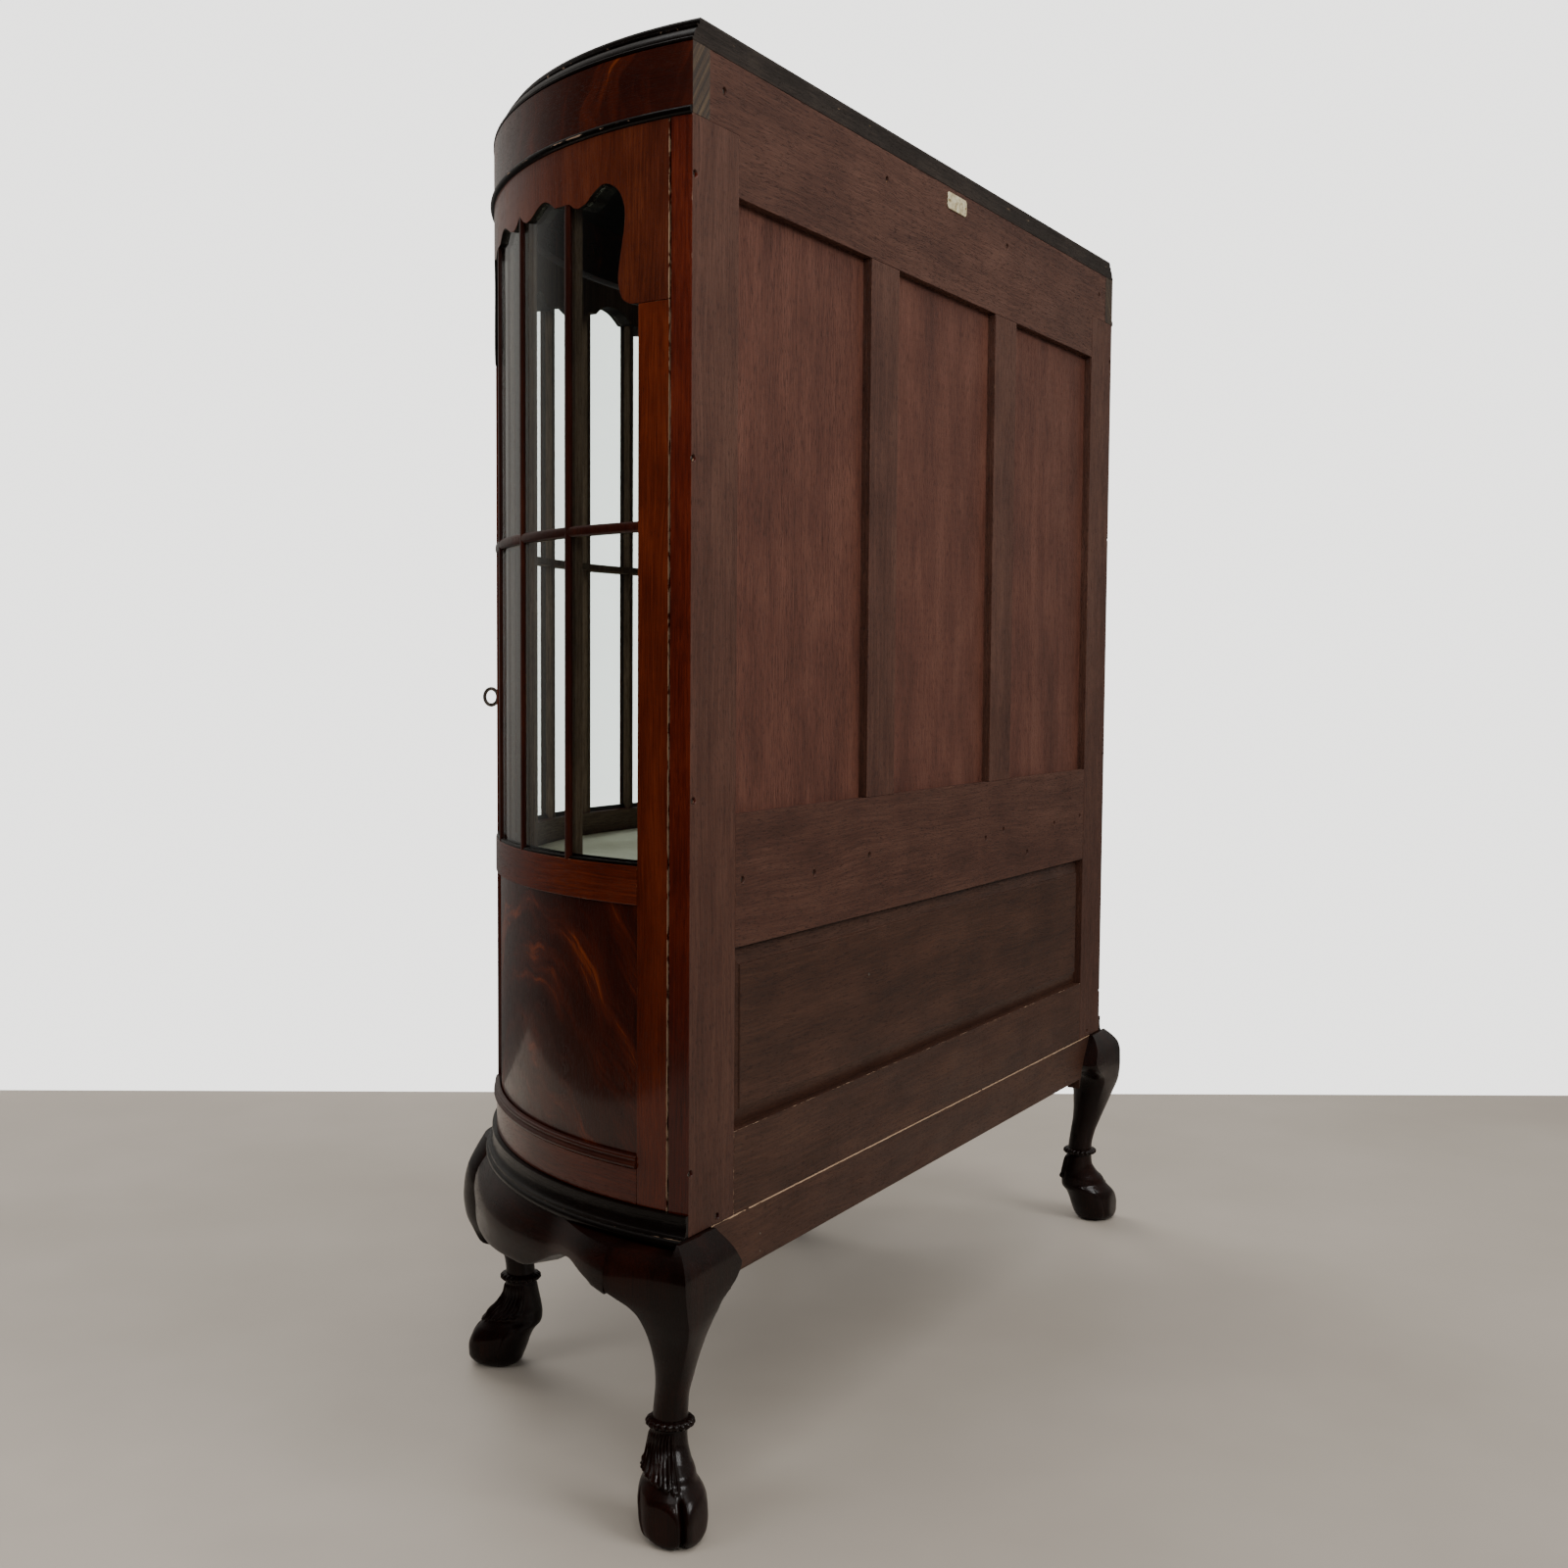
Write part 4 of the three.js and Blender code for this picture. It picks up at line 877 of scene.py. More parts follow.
bead_profile = [(0.02, FRIEZE[0] - 1.5), *arc((0.1, FRIEZE[0] + 2.3), 3.5, -88, 88, 12), (0.02, FRIEZE[0] + 6)]
bm = grained(run(bead_profile, 0.2, ARC_TOTAL - 0.2, 6, wear_rows=(6, 7)), "bead")
piece("frieze_bead_piece", bm, "ebonised_wood", EBONISED)

TOP = low("top_board").z
EDGE = [(-1.2, 2.8, 0.6), (0.3, 2.8, 0.2), (0.5, 3.2, 0), (0.5, 5.0, 0), (0.1, 5.5, 0), (-1.6, 5.7, 0),
        (-1.8, 6.4, 0),
        (-1.9, 7.4, 0), (-2.6, 9.2, 0), (-3.9, 11.4, 0), (-5.6, 13.2, 0), (-7.4, 14.4, 0), (-7.8, 14.9, 0),
        (-7.4, 15.4, 0), (-7.2, 16.2, 0), (-7.4, 17.0, 0), (-8.2, 17.4, 0), (-10.4, 17.6, 0), (-10.7, 18.2, 0),
        (-10.8, 20.4, 0), (-11.2, 21.8, 0.1), (-12.2, 23.2, 0.4), (-13.6, 23.9, 1.0), (-14.6, 24, 1.6)]
rings = []
for out, z, inset in EDGE:
    rings.append([Vector((x, y, TOP + z)) for x, y in half_ellipse(out, BACK - inset, 190)])
bm = skin(rings)
layer = bm.verts.layers.float["wear"]
for vert in bm.verts:
    if TOP + 14.8 < vert.co.z < TOP + 17.2 or vert.co.z > TOP + 23.5:
        vert[layer] = 0.9
set_grain(bm, SIDEWAYS, offset_of("top"))
paint(bm, 1, lambda f: f.normal.y > 0.7)
piece("top_board_piece", bm, "ebonised_wood", EBONISED, CHARCOAL)

# ---- Panelled back ----

STILE_IN = low("back_stile_right").x
RAIL_TOP = heights("back_top_rail")
RAIL_MID = heights("back_mid_rail")
RAIL_LOW = heights("back_bottom_rail")
MUNTIN = (low("back_muntin_right").x, high("back_muntin_right").x)
PANEL_DEPTH = (low("back_panel_centre").y, high("back_panel_centre").y)
SCREWS = [(529, 1124.3), (530.4, 897.7), (528.2, 618.9), (530.6, 307.7), (485.4, 260.5), (481.5, 1201.7),
          (160.9, 1201.7), (-161.1, 1200.1), (443.5, 545.9), (305.5, 539.3), (185.4, 545.9), (-121.8, 539.5),
          (-176.3, 545.6), (-254.6, 513.2), (-347.2, 541.0), (-441.8, 544.1)]
SCREWS += [(-x, z) for x, z in SCREWS[:6]]
HOLE = 2.7


def hole(x, z):
    """A countersunk hole in the back, to be cut out."""
    profile = [(HOLE, -5), (HOLE, -1.6), (HOLE + 1.2, 0.3), (HOLE + 1.2, 4)]
    return moved(turned(profile, "Y", 18), x, BACK, z)


def plank(name, lo, hi, slot, *materials, upright=True, holes=True, edge=None):
    bm = block(lo, hi, 0.7)
    inside = [(x, z) for x, z in SCREWS if lo[0] - 4 < x < hi[0] + 4 and lo[2] < z < hi[2]] if holes else []
    for x, z in inside:
        bm = carve(bm, hole(x, z))
    set_grain(bm, UP if upright else ALONG, offset_of(name))
    if edge:
        paint(bm, 1, edge)
    return piece(name, bm, slot, *materials)


for side, sign in (("right", 1), ("left", -1)):
    spans = sorted([sign * STILE_IN, sign * HALF_WIDTH])
    front = low("back_stile_right").y
    plank(f"back_stile_{side}_piece", (spans[0], front, heights("back_stile_right")[0]),
          (spans[1], BACK, FRIEZE[0]), "back_mahogany", BACKING, STILE_EDGE,
          edge=lambda f: f.normal.x * sign > 0.7)
    spans = sorted([sign * MUNTIN[0], sign * MUNTIN[1]])
    plank(f"back_muntin_{side}_piece", (spans[0], front, RAIL_MID[1]), (spans[1], BACK - 0.1, RAIL_TOP[0]),
          "back_mahogany", BACKING)
    spans = sorted([sign * (MUNTIN[1] - 3), sign * (STILE_IN + 3)])
    plank(f"back_panel_{side}_piece", (spans[0], PANEL_DEPTH[0], RAIL_MID[1] - 3),
          (spans[1], PANEL_DEPTH[1], RAIL_TOP[0] + 3), "panel_mahogany", PANEL, holes=False)
plank("back_panel_centre_piece", (-MUNTIN[0] - 3, PANEL_DEPTH[0], RAIL_MID[1] - 3),
      (MUNTIN[0] + 3, PANEL_DEPTH[1], RAIL_TOP[0] + 3), "panel_mahogany", PANEL, holes=False)

front = low("back_top_rail").y
bm = block((-STILE_IN, front, RAIL_TOP[0]), (STILE_IN, BACK - 0.12, FRIEZE[0] + 1), 0.7)
shoulder = HALF_WIDTH - 27.6
join(bm, block((-shoulder, front, FRIEZE[0]), (shoulder, BACK - 0.12, FRIEZE[1]), 0.4))
bm = carve(bm, *[hole(x, z) for x, z in SCREWS if z > 1190])
set_grain(bm, ALONG, offset_of("back top"))
piece("back_top_rail_piece", bm, "back_mahogany", BACKING)
plank("back_mid_rail_piece", (-STILE_IN, front, RAIL_MID[0]), (STILE_IN, BACK - 0.05, RAIL_MID[1]),
      "back_mahogany", BACKING, upright=False)
plank("back_bottom_rail_piece", (-STILE_IN, front, RAIL_LOW[0]), (STILE_IN, BACK - 0.05, RAIL_LOW[1]),
      "back_mahogany", LOWER_BACK_SHADED, upright=False)

FIELD = [(-6, 0.2), (1.2, 0.6), (1.6, 1.4), (16.2, 6.0), (16.8, 7.2), (17.4, 7.6)]


def fielded_panel():
    """The lower back panel: flat by the frame, sloping up to a step, then a raised flat field."""
    base = PANEL_DEPTH[1]
    x, (z0, z1) = STILE_IN, (RAIL_LOW[1], RAIL_MID[0])
    rings = []
    rows = [(-5, base - 6), *[(border, base - 1.6 + rise) for border, rise in FIELD]]
    for border, depth in rows:
        width, foot, head = x - border * 0.88, z0 + border, z1 - border
        rings.append([Vector(p) for p in ((-width, depth, foot), (width, depth, foot), (width, depth, head),
                                          (-width, depth, head))])
    bm = skin(rings)
    set_grain(bm, ALONG, offset_of("lower panel"))
    return piece("back_lower_panel_piece", bm, "panel_mahogany", LOWER_BACK_SHADED, sharp=12)


fielded_panel()


def screws():
    bm = shape()
    rim = HOLE - 0.15
    for i, (x, z) in enumerate(SCREWS):
        head = turned([(0.2, -3.4), (rim, -3.0), (rim, -2.3), (HOLE - 0.9, -1.9), (0.3, -1.8)], "Y", 18)
        head = carve(head, block((-4, -2.4, -0.45), (4, 1, 0.45)))
        join(bm, placed(head, Matrix.Translation((x, BACK, z)) @ Matrix.Rotation(0.7 * i, 4, "Y")))
    for x, z in ((407, 225.5), (407, 209.4), (-407, 225.5), (-407, 209.4), (177.9, 426.9)):
        depth = BACK - 0.2 if z < 300 else BACK - 2.6
        pin = turned([(1.5, -1.5), (1.5, 0.1), (1.0, 0.35), (0.2, 0.4)], "Y", 12)
        join(bm, moved(pin, x, depth - 0.3, z))
    return piece("back_screws", bm, "dark_steel", STEEL)


screws()


def maker_plate():
    """A blank oblong plate with round corners, held by two pins."""
    lo, hi = low("maker_plate"), high("maker_plate")
    centre = (lo + hi) / 2
    half_x, half_z = (hi.x - lo.x) / 2, (hi.z - lo.z) / 2
    rings = []
    for inset, out in ((0, 0), (0, 0.45), (0.25, 0.7), (0.7, 0.8)):
        ring = []
        for cx, cz, first in ((1, 1, 0), (-1, 1, 90), (-1, -1, 180), (1, -1, 270)):
            for x, z in arc((cx * (half_x - 4), cz * (half_z - 4)), 4 - inset, first, first + 90, 8):
                ring.append(Vector((centre.x + x, lo.y + out, centre.z + z)))
        rings.append(ring)
    piece("maker_plate_piece", skin(rings), "ivory_plate", IVORY)
    bm = shape()
    for side in (-1, 1):
        pin = turned([(1.2, 0.4), (1.2, 0.95), (0.8, 1.15), (0.2, 1.2)], "Y", 14)
        join(bm, moved(pin, centre.x + side * 21.5, lo.y, centre.z))
    return piece("plate_pins", bm, "aged_brass", BRASS)


maker_plate()

# ---- Inside boards ----

INSIDE_BACK = low("back_stile_right").y
floor_z, lining_z, bottom_z = heights("display_floor"), heights("floor_lining"), heights("bottom_board")
FLOOR_EDGE = [(-21.2, floor_z[0]), (-20.6, floor_z[0] + 0.6), (-20.6, floor_z[1] - 0.6), (-21.2, floor_z[1])]
LINING_EDGE = [(-22, lining_z[0] - 0.25), (-22, lining_z[1] - 0.5), (-22.5, lining_z[1])]
BOTTOM_EDGE = [(-22.4, bottom_z[0]), (-22.4, bottom_z[1])]
bm = plan_board("display floor", FLOOR_EDGE, INSIDE_BACK - 0.4)
piece("display_floor_piece", bm, "polished_mahogany", POLISHED)
bm = plan_board("lining", LINING_EDGE, INSIDE_BACK - 1.4)
lining = piece("floor_lining_piece", bm, "lining_cloth", LINING)
bm = plan_board("bottom", BOTTOM_EDGE, INSIDE_BACK - 0.4)
piece("bottom_board_piece", bm, "base_mahogany", BASE)

# ---- Base ----

MOULDING_PROFILE = [
    (7.0, 245.0), *arc((6.9, 249.1), 4.05, -80, 66, 10), (8.5, 253.4), (8.3, 255.2), (7.7, 255.5),
    *[(7.7 - 4.2 * math.cos(a), 267 - 11.4 * math.sin(a)) for a in np.radians(np.linspace(86, 4, 9))],
    (3.5, 267.4), (4.5, 268.0), (4.6, 269.0), (4.6, 272.5), (4.2, 273.0),
]


def base_moulding():
    rings = []
    notch = SIDE_START - 1
    places = [0, 7, 14, notch, notch + 0.01, *stations(notch + 6, ARC_TOTAL - notch - 6, 6),
              ARC_TOTAL - notch - 0.01, ARC_TOTAL - notch, ARC_TOTAL - 14, ARC_TOTAL - 7, ARC_TOTAL]
    for along in places:
        inner = -22 if notch < along < ARC_TOTAL - notch else 0.3
        rings.append([Vector((along, out, z)) for out, z in [(inner, 245), *MOULDING_PROFILE, (inner, 273)]])
    bm = skin(rings, wear_rows=(12, 24))
    grained(bm, "base moulding")
    return piece("base_moulding_piece", bm, "ebonised_wood", EBONISED)


base_moulding()

# Leg sections from the sole up: height, reach forward and back of the ankle, half width, squareness
# (2 is an oval, 1 a corner), and how far the widest place lies forward of the ankle.
FOOT_SECTIONS = [
    (0, 40, -8, 16, 2, 22), (3, 49, 0, 24, 2, 22), (10, 54.5, 3.6, 28.5, 2, 22), (20, 55, 7.5, 30, 2, 20),
    (30, 52, 11, 30, 2, 17), (38, 47, 15.5, 28.5, 2, 13), (44, 41, 21, 25.5, 2, 9),
    (49, 36.5, 22.6, 22.5, 2, 7),
    (55, 33.5, 22.8, 21.5, 2, 5), (63, 25, 21.8, 18.8, 2, 1), (76, 17, 19, 16.2, 2, -2),
    (85.5, 15.6, 17, 15.3, 2, -1),
    (88, 15.4, 15.8, 15.4, 2, 0), (99.5, 15.4, 14.8, 15.0, 2, 0),
]
BACK_KNEE_SECTIONS = [
    (118, 19.5, 12.5, 14.6, 2, 3), (136, 27.4, 10, 16.6, 1.7, 8), (154, 36.6, 9, 20.4, 1.42, 12),
    (170, 44.5, 9, 25.6, 1.24, 13.5), (188, 53.6, 11, 34, 1.12, 15), (197, 56.2, 15, 41, 1.08, 12),
    (204, 57.6, 23, 51.5, 1.05, 4.5), (211, 58.2, 33, 61, 1.04, -3), (222, 58.2, 40, 68, 1.03, -11),
    (234, 54.8, 40, 68, 1.03, -15), (LEG_TOP, 45.5, 40, 68, 1.03, -22),
]
FRONT_KNEE_SECTIONS = [
    (118, 18.5, 13, 16, 2, 2), (127, 24, 13, 19, 2, 3), (133, 34, 13.5, 26, 1.95, 6), (140, 45, 14, 36, 1.9, 8),
    (150, 53, 14, 46, 1.88, 9), (165, 58, 15, 54, 1.86, 8), (180, 59.5, 18, 59, 1.85, 4),
    (195, 58.5, 25, 62, 1.85, -2),
    (211, 55, 33, 65, 1.85, -10), (226, 48, 40, 68, 1.85, -16), (LEG_TOP, 37, 40, 70, 1.85, -22),
]
BACK_LEG_AXIS = (528.5, -22)
BACK_LEG_REACH = 62
BACK_LEG_WIDTH = 66.5
FRONT_LEG_REACH = 60
FRONT_LEG_SET_BACK = 19
RING = (92.5, 3.9)
TURN = np.linspace(0, 2 * math.pi, 176, False)


def smoothed(table, heights_wanted):
    """The leg's sections at many heights, each measure on a curve that never overshoots."""
    table = np.array(table, float)
    zs = table[:, 0]
    gaps = np.diff(zs)
    made = [heights_wanted]
    for column in table[:, 1:].T:
        slopes = np.diff(column) / gaps
        inner = np.zeros(len(slopes) - 1)
        same = slopes[:-1] * slopes[1:] > 0
        inner[same] = 2 * (slopes[:-1] * slopes[1:])[same] / (slopes[:-1] + slopes[1:])[same]
        tangents = np.concatenate([slopes[:1], inner, slopes[-1:]])
        i = np.clip(np.searchsorted(zs, heights_wanted) - 1, 0, len(gaps) - 1)
        t = (heights_wanted - zs[i]) / gaps[i]
        values = (2 * t ** 3 - 3 * t ** 2 + 1) * column[i] + (t ** 3 - 2 * t ** 2 + t) * gaps[i] * tangents[i]
        values = values + (3 * t ** 2 - 2 * t ** 3) * column[i + 1]
        made.append(values + (t ** 3 - t ** 2) * gaps[i] * tangents[i + 1])
    return np.array(made).T


def ease(value, start, end):
    t = min(max((value - start) / (end - start), 0), 1)
    return t * t * (3 - 2 * t)


def leg_ring(section, hair_share):
    """One level of a leg as (forward, across) points. hair_share(angle) says where the hair is carved."""
    z, reach, back, wide, squareness, middle = section
    ring = []
    for a in TURN:
        c, s = math.cos(a), math.sin(a)
        power = 2 / squareness if c > 0 else 1
        depth = reach - middle if c > 0 else back + middle
        forward = middle + depth * math.copysign(abs(c) ** power, c)
        across = wide * math.copysign(abs(s) ** power, s)
        length = math.hypot(forward - middle, across) or 1
        normal = ((forward - middle) / length, across / length)
        lift = 0.0
        level = abs(z - RING[0]) / RING[1]
        if level < 1:
            lift += 6.2 * math.sqrt(1 - level ** 2) * (0.62 + 0.38 * abs(math.cos(10 * a)) ** 0.7)
        share = hair_share(a)
        if share > 0 and z > 40:
            from_front = abs((a + math.pi) % (2 * math.pi) - math.pi)
            hem = 46.5 + 5.5 * min(from_front, 2.0) - 1.9 * abs(math.sin(11 * a))
            strand = math.cos(38 * a + 0.1 * (z - 60) * math.sin(3 * a)) + 0.6 * math.cos(71 * a + 0.05 * z)
            cover = ease(z, hem - 0.8, hem + 0.9) * (1 - ease(z, 80, 88))
            lift += share * cover * (1.3 + 0.6 * strand)
            lift += share * 1.5 * math.exp(-((z - hem - 1.5) / 2.2) ** 2)
        if z < 47 and c > 0:
            toes = 1 - ease(z, 33, 46)
            side_on = min(abs(across) / max(wide, 1), 1)
            lift -= toes * 6.5 * math.exp(-(across / 2.3) ** 2)
            lift += toes * 2.0 * math.sin(side_on * math.pi) - toes * 1.2
        ring.append((forward + normal[0] * lift, across + normal[1] * lift))
    return ring


def leg_shape(sections, axis, out, hair_share, lean=None, lobes=0.0):
    """Rings of a leg. lean is (way, amounts by height) of its bow to one side; lobes is how deep the carved
    scallops hang under the knee."""
    levels = np.unique(np.round(np.concatenate([
        np.arange(0, 12, 1.2), np.arange(12, 40, 2.5), np.arange(40, 88, 1.15), np.arange(88, 97.2, 0.6),
        np.arange(97.2, 120, 2), np.arange(120, sections[-1][0], 2.6), [sections[-1][0]]]), 3))
    rings = []
    for section in smoothed(sections, levels):
        z = section[0]
        bow = lean[0] * float(np.interp(z, *zip(*lean[1]))) if lean else 0.0
        hang = lobes * math.exp(-((z - 139) / 9) ** 2)
        ring = []
        for (forward, across), a in zip(leg_ring(section, hair_share), TURN):
            across += bow
            ring.append(Vector((axis[0] + out[0] * forward - out[1] * across,
                                axis[1] + out[1] * forward + out[0] * across,
                                z + hang * (abs(math.sin(5.5 * a)) - 0.75))))
        rings.append(ring)
    return skin(rings)


def slice_off(bm, point, normal):
    """Removes what lies beyond a plane and closes the cut."""
    made = bisect(bm, point, normal, clear_outer=True)
    rim = [item for item in made["geom_cut"] if isinstance(item, bmesh.types.BMEdge) and item.is_boundary]
    bmesh.ops.contextual_create(bm, geom=rim)


LEAN = [(55, 0), (70, 0.6), (92, 1.8), (118, 2.4), (136, 3.6), (154, 4.0), (170, 4.6), (190, 4.4), (204, 2.4),
        (214, 0.6), (222, 0)]
JOINT_CURVE = [(495.5, 256), (494, 251), (486, 240), (476.5, 227), (469.5, 216), (466.6, 208), (466.2, 190)]


def joint_outline(sign, inner, shift=0.0):
    """The curved joint between a back leg and the base rail, closed at a place x = inner."""
    curve = [(sign * (x + shift), z) for x, z in spline(JOINT_CURVE, 5)]
    return [*curve, (sign * inner, curve[-1][1]), (sign * inner, curve[0][1])]


def prism(outline, back, front):
    """A flat outline of (x, z) points, thickened from one y to another."""
    return skin([[Vector((x, y, z)) for x, z in outline] for y in (back, front)])


def within_box(bm):
    """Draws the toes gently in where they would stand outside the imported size."""
    limits = ((0, high("leg_back_right").x - 0.4), (1, high("leg_back_right").y - 0.4))
    for vert in bm.verts:
        for axis, limit in limits:
            value = vert.co[axis]
            over = (abs(value) - limit) / 1.6 if axis == 0 or value > 0 else -9
            if over > -6:
                held = limit - 1.6 * math.log1p(math.exp(-over))
                vert.co[axis] = math.copysign(held, value)


def back_leg(side, sign):
    top = (BACK_BOTTOM + 0.2, 33, 40, 68, 1.03, -30)
    axis = (sign * BACK_LEG_AXIS[0], BACK + BACK_LEG_AXIS[1])
    half = math.sqrt(0.5)
    hair = lambda a: ease(-sign * math.sin(a), -0.12, 0.12)
    bm = leg_shape([*FOOT_SECTIONS, *BACK_KNEE_SECTIONS, top], axis, (sign * half, half), hair, (sign, LEAN))
    slice_off(bm, (sign * (HALF_WIDTH - BACK_LEG_WIDTH), 0, 0), (-sign, 0, 0))
    slice_off(bm, (0, BACK - BACK_LEG_REACH, 0), (0, -1, 0))
    outside = block((sign * 600 - 66.7, BACK - 90, LEG_TOP), (sign * 600 + 66.7, BACK + 0.15, 270))
    ahead = block((sign * 540 - 100, BACK - 90, LEG_TOP), (sign * 540 + 100, BACK - 20, 270))
    bm = carve(bm, outside, ahead, prism(joint_outline(sign, 440), BACK - 30, BACK + 40))
    within_box(bm)
    set_grain(bm, UP, offset_of("leg " + side))
    piece(f"leg_back_{side}_piece", bm, "base_mahogany", BASE, sharp=48)


def front_leg(side, along):
    foot = bend(along, -FRONT_LEG_SET_BACK, 0)
    out = outward(along)
    hair = lambda a: ease(math.cos(a), -0.35, 0.0)
    bm = leg_shape([*FOOT_SECTIONS, *FRONT_KNEE_SECTIONS], foot, out, hair, lobes=9)
    for sign in (-1, 1):
        plane = seat(along + sign * FRONT_LEG_REACH, 0)
        slice_off(bm, plane.translation, plane.to_3x3().col[0] * sign)
    set_grain(bm, UP, offset_of("leg front " + side))
    piece(f"leg_front_{side}_piece", bm, "base_mahogany", BASE, sharp=48)


def base_rail():
    """The lowest board of the back, running under the curved joints with the legs."""
    lo, hi = low("back_base_rail"), high("back_base_rail")
    bm = block(lo, Vector((hi.x, BACK - 0.15, hi.z)), 0.7)
    for sign in (-1, 1):
        outline = [(x, min(z, hi.z)) for x, z in joint_outline(sign, 460, -0.15) if z > 205 or abs(x) < 463]
        join(bm, prism(outline, BACK - 16, BACK - 0.17))
    set_grain(bm, ALONG, offset_of("base rail"))
    bisect(bm, (0, 0, hi.z - 1.5), (0, 0, 1))
    for vert in bm.verts:
        if vert.co.z > hi.z - 0.9 and vert.co.y > BACK - 1:
            vert[bm.verts.layers.float["wear"]] = 1.4
    return piece("back_base_rail_piece", bm, "base_mahogany", LOWER_BACK_SHADED)


base_rail()
for side, sign in (("right", 1), ("left", -1)):
    back_leg(side, sign)
    front_leg(side, FRONT_LEG_ALONG if sign > 0 else ARC_TOTAL - FRONT_LEG_ALONG)

FRONT_ARCH = [(0, 190), (0.07, 194), (0.12, 195.5), (0.16, 203), (0.22, 209.5), (0.32, 206), (0.42, 193),
              (0.5, 186)]
SIDE_ARCH = [(0, 203), (0.04, 206.5), (0.068, 208.6), (0.075, 210.4), (0.118, 215), (0.154, 218.7),
             (0.188, 219.3),
             (0.239, 215.6), (0.306, 206), (0.38, 193.5), (0.427, 187.5), (0.5, 186), (0.6, 184), (0.75, 182),
             (0.86, 181), (1, 180)]
FRONT_LINE = spline([*FRONT_ARCH, *[(1 - share, z) for share, z in FRONT_ARCH[-2::-1]]], 10)
SIDE_LINE = spline(SIDE_ARCH, 10)
APRON_INNER = -16
APRON_ROWS = (0.0, 0.012, 0.04, 0.1, 0.2, 0.32, 0.44, 0.56, 0.68, 0.8, 0.9, 0.96, 1)
APRON_TUCKS = (2.6, 1.3, 0.4) + (0,) * 10


def plain_swell(z, most=10):
    rise = min(max((LEG_TOP - z) / 45, 0), 1)
    return 4 + most * math.sin(rise * math.pi * 0.62)


def knee_swell(z):
    reaches = [(height, reach) for height, reach, *_ in BACK_KNEE_SECTIONS]
    return float(smoothed(reaches, np.array([z]))[0][1]) * math.sqrt(0.5)


def side_swell(along, z):
    fade = ease(along, 45, 165)
    return knee_swell(z) * (1 - fade) + plain_swell(z, 10 + 9 * ease(along, 150, 290)) * fade


def apron(name, start, end, swell, line):
    """An apron board. swell(along, z) is how far out its face stands, line its lower edge over its length."""
    shares, edge = zip(*line)
    rings = []
    for along in stations(start, end, 6):
        foot = np.interp((along - start) / (end - start), shares, edge)
        rows = [(foot + (LEG_TOP - foot) * part, tuck) for part, tuck in zip(APRON_ROWS, APRON_TUCKS)]
        face = [(swell(along, z) - tuck, z) for z, tuck in rows]
        profile = [(APRON_INNER, foot), *face, (APRON_INNER, LEG_TOP)]
        rings.append([Vector((along, out, z)) for out, z in profile])
    bm = skin(rings)
    grained(bm, name)
    return bm


side_run = (BACK_LEG_REACH - 14, FRONT_LEG_ALONG - FRONT_LEG_REACH)
for side, sign in (("right", 1), ("left", -1)):
    if sign > 0:
        bm = apron("apron right", *side_run, side_swell, SIDE_LINE)
    else:
        bm = apron("apron left", ARC_TOTAL - side_run[1], ARC_TOTAL - side_run[0],
                   lambda along, z: side_swell(ARC_TOTAL - along, z),
                   [(1 - share, z) for share, z in SIDE_LINE[::-1]])
    slice_off(bm, (0, BACK - BACK_LEG_REACH - 0.1, 0), (0, 1, 0))
    piece(f"apron_{side}_piece", bm, "base_mahogany", BASE)
front_run = FRONT_LEG_ALONG + FRONT_LEG_REACH
bm = apron("apron front", front_run, ARC_TOTAL - front_run, lambda along, z: plain_swell(z), FRONT_LINE)
piece("apron_front_piece", bm, "base_mahogany", BASE)

# ---- Floor, light and camera ----

EYE = Vector((1852, 992.8, 725)) * MM
HEADING = Vector((-0.859, -0.512, 0)).normalized()
PITCH = math.radians(3.854)
ROLL = math.radians(0.2)


def camera():
    ahead = HEADING * math.cos(PITCH) + Vector((0, 0, -math.sin(PITCH)))
    right = ahead.cross(Vector((0, 0, 1))).normalized()
    up = right.cross(ahead)
    turn = Matrix((right, up, -ahead)).transposed().to_4x4()
    data = bpy.data.cameras.new("camera")
    data.lens = 42.95
    data.sensor_width = 36
    data.shift_x = 0.0665
    data.shift_y = 0.0088
    scene.camera = add("camera", data)
    scene.camera.matrix_world = Matrix.Translation(EYE) @ turn @ Matrix.Rotation(ROLL, 4, "Z")


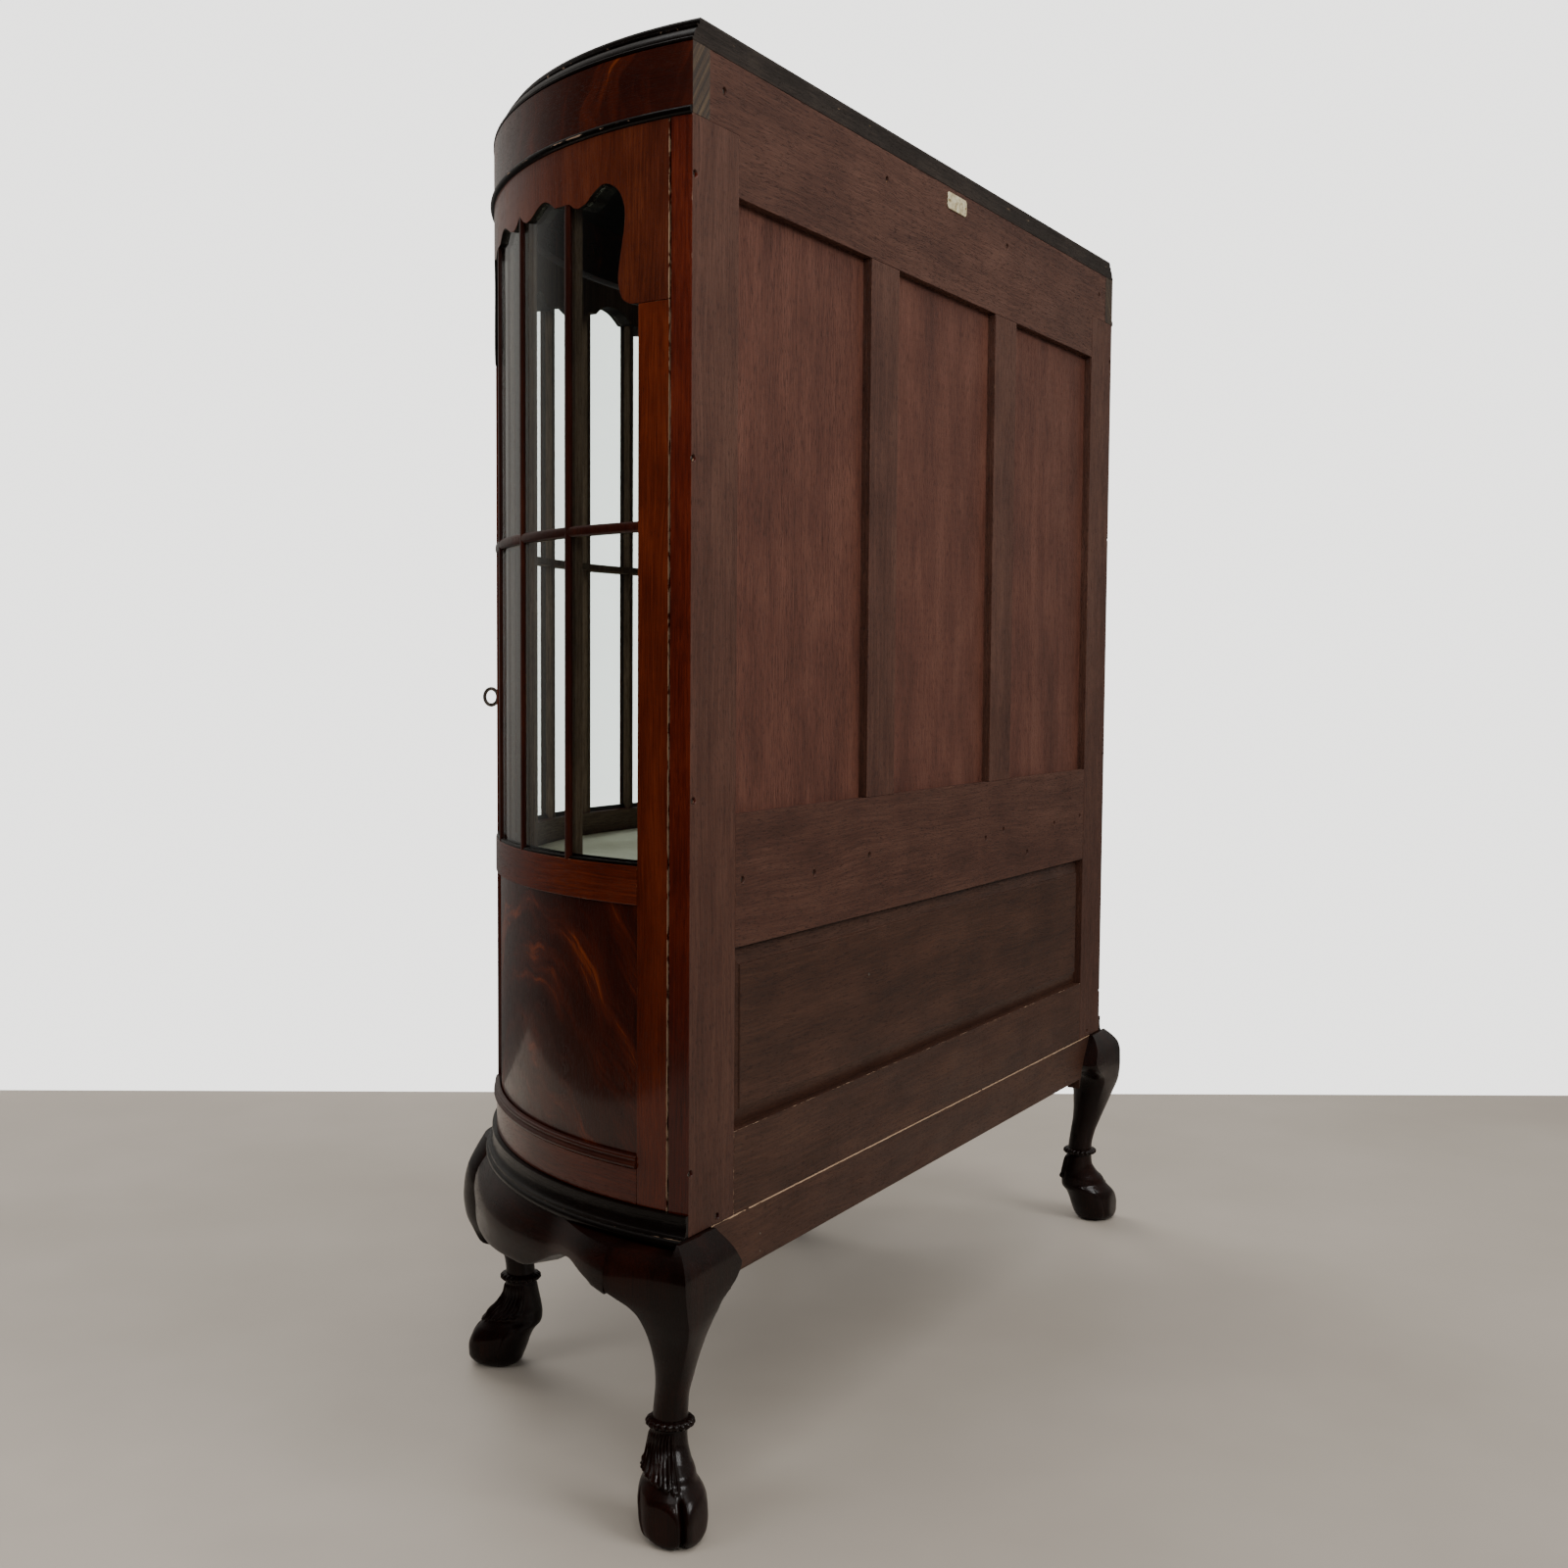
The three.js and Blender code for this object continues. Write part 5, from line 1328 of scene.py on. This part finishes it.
def floor():
    side = HEADING.cross(Vector((0, 0, 1)))
    bm = bmesh.new()
    far, near, half = 3.19, -0.6, 1.6
    under_eye = EYE * Vector((1, 1, 0))
    rows = [[bm.verts.new(under_eye + HEADING * f + side * s) for s in np.linspace(-half, half, 9)]
            for f in np.linspace(near, far, 9)]
    for first, second in zip(rows, rows[1:]):
        for i in range(8):
            bm.faces.new((first[i], first[i + 1], second[i + 1], second[i]))
    bmesh.ops.recalc_face_normals(bm, faces=bm.faces)
    mesh = as_mesh(bm, "floor")
    s = Shader("pale_floor")
    cloud = s.noise(s.scaled(s.place(), 1.6, 1.6, 1.6), 4.0, 0.6)
    colour = s.ramp(cloud, (0.35, (158, 149, 138)), (0.65, (168, 159, 148)))
    mesh.materials.append(s.surface(cloud, 0.0005, 0.1, Base_Color=colour, Roughness=0.5))
    add("floor", mesh)


def area_light(name, place, target, size, power, mirrored=True):
    data = bpy.data.lights.new(name, "AREA")
    data.shape = "RECTANGLE"
    data.size, data.size_y = size
    data.energy = power
    made = add(name, data)
    made.location = place
    made.rotation_euler = (Vector(target) - Vector(place)).to_track_quat("-Z", "Y").to_euler()
    made.visible_glossy = mirrored


def surroundings():
    world = bpy.data.worlds.new("studio")
    world.use_nodes = True
    tree = world.node_tree
    tree.nodes.clear()
    s = Shader.__new__(Shader)
    s.tree = tree
    direction = s.node("TexCoord").outputs["Generated"]
    axes = s.node("SeparateXYZ", direction)
    toward = s.node("VectorMath", direction, (0.859, -0.512, 0), operation="DOT_PRODUCT").outputs["Value"]
    shade = s.step(toward, 0.15, 0.8)
    overhead = s.step(axes.outputs[2], -0.1, 0.9)
    below = s.step(axes.outputs[2], -0.3, 0.05)
    strength = s.times(s.times_plus(overhead, 0.34, 0.26), s.times_plus(shade, -0.94, 1.0))
    strength = s.times(strength, s.times_plus(below, 0.8, 0.2))
    light = s.node("Background", (1.0, 0.955, 0.89, 1), strength)
    backdrop = s.node("Background", (1, 0.99, 0.965, 1), 2.6)
    seen = s.node("LightPath").outputs["Is Camera Ray"]
    both = s.node("MixShader", seen, light.outputs[0], backdrop.outputs[0])
    s.feed(s.node("OutputWorld").inputs[0], both.outputs[0])
    scene.world = world


camera()
floor()
surroundings()
area_light("ceiling", (0.4, 0.4, 3.2), (0, 0, 0.6), (3.0, 3.0), 56)
area_light("key", (0.6, 3.4, 2.45), (0, 0.2, 0.6), (1.7, 1.4), 84)
area_light("window", (2.6, 1.9, 2.3), (0.5, 0.2, 0.2), (0.4, 0.7), 12)
area_light("front", (-1.7, -3.0, 2.1), (0, 0, 0.7), (2.6, 2.0), 105, mirrored=False)
area_light("side", (3.2, -1.2, 2.0), (0, 0, 0.7), (1.6, 1.6), 42, mirrored=False)
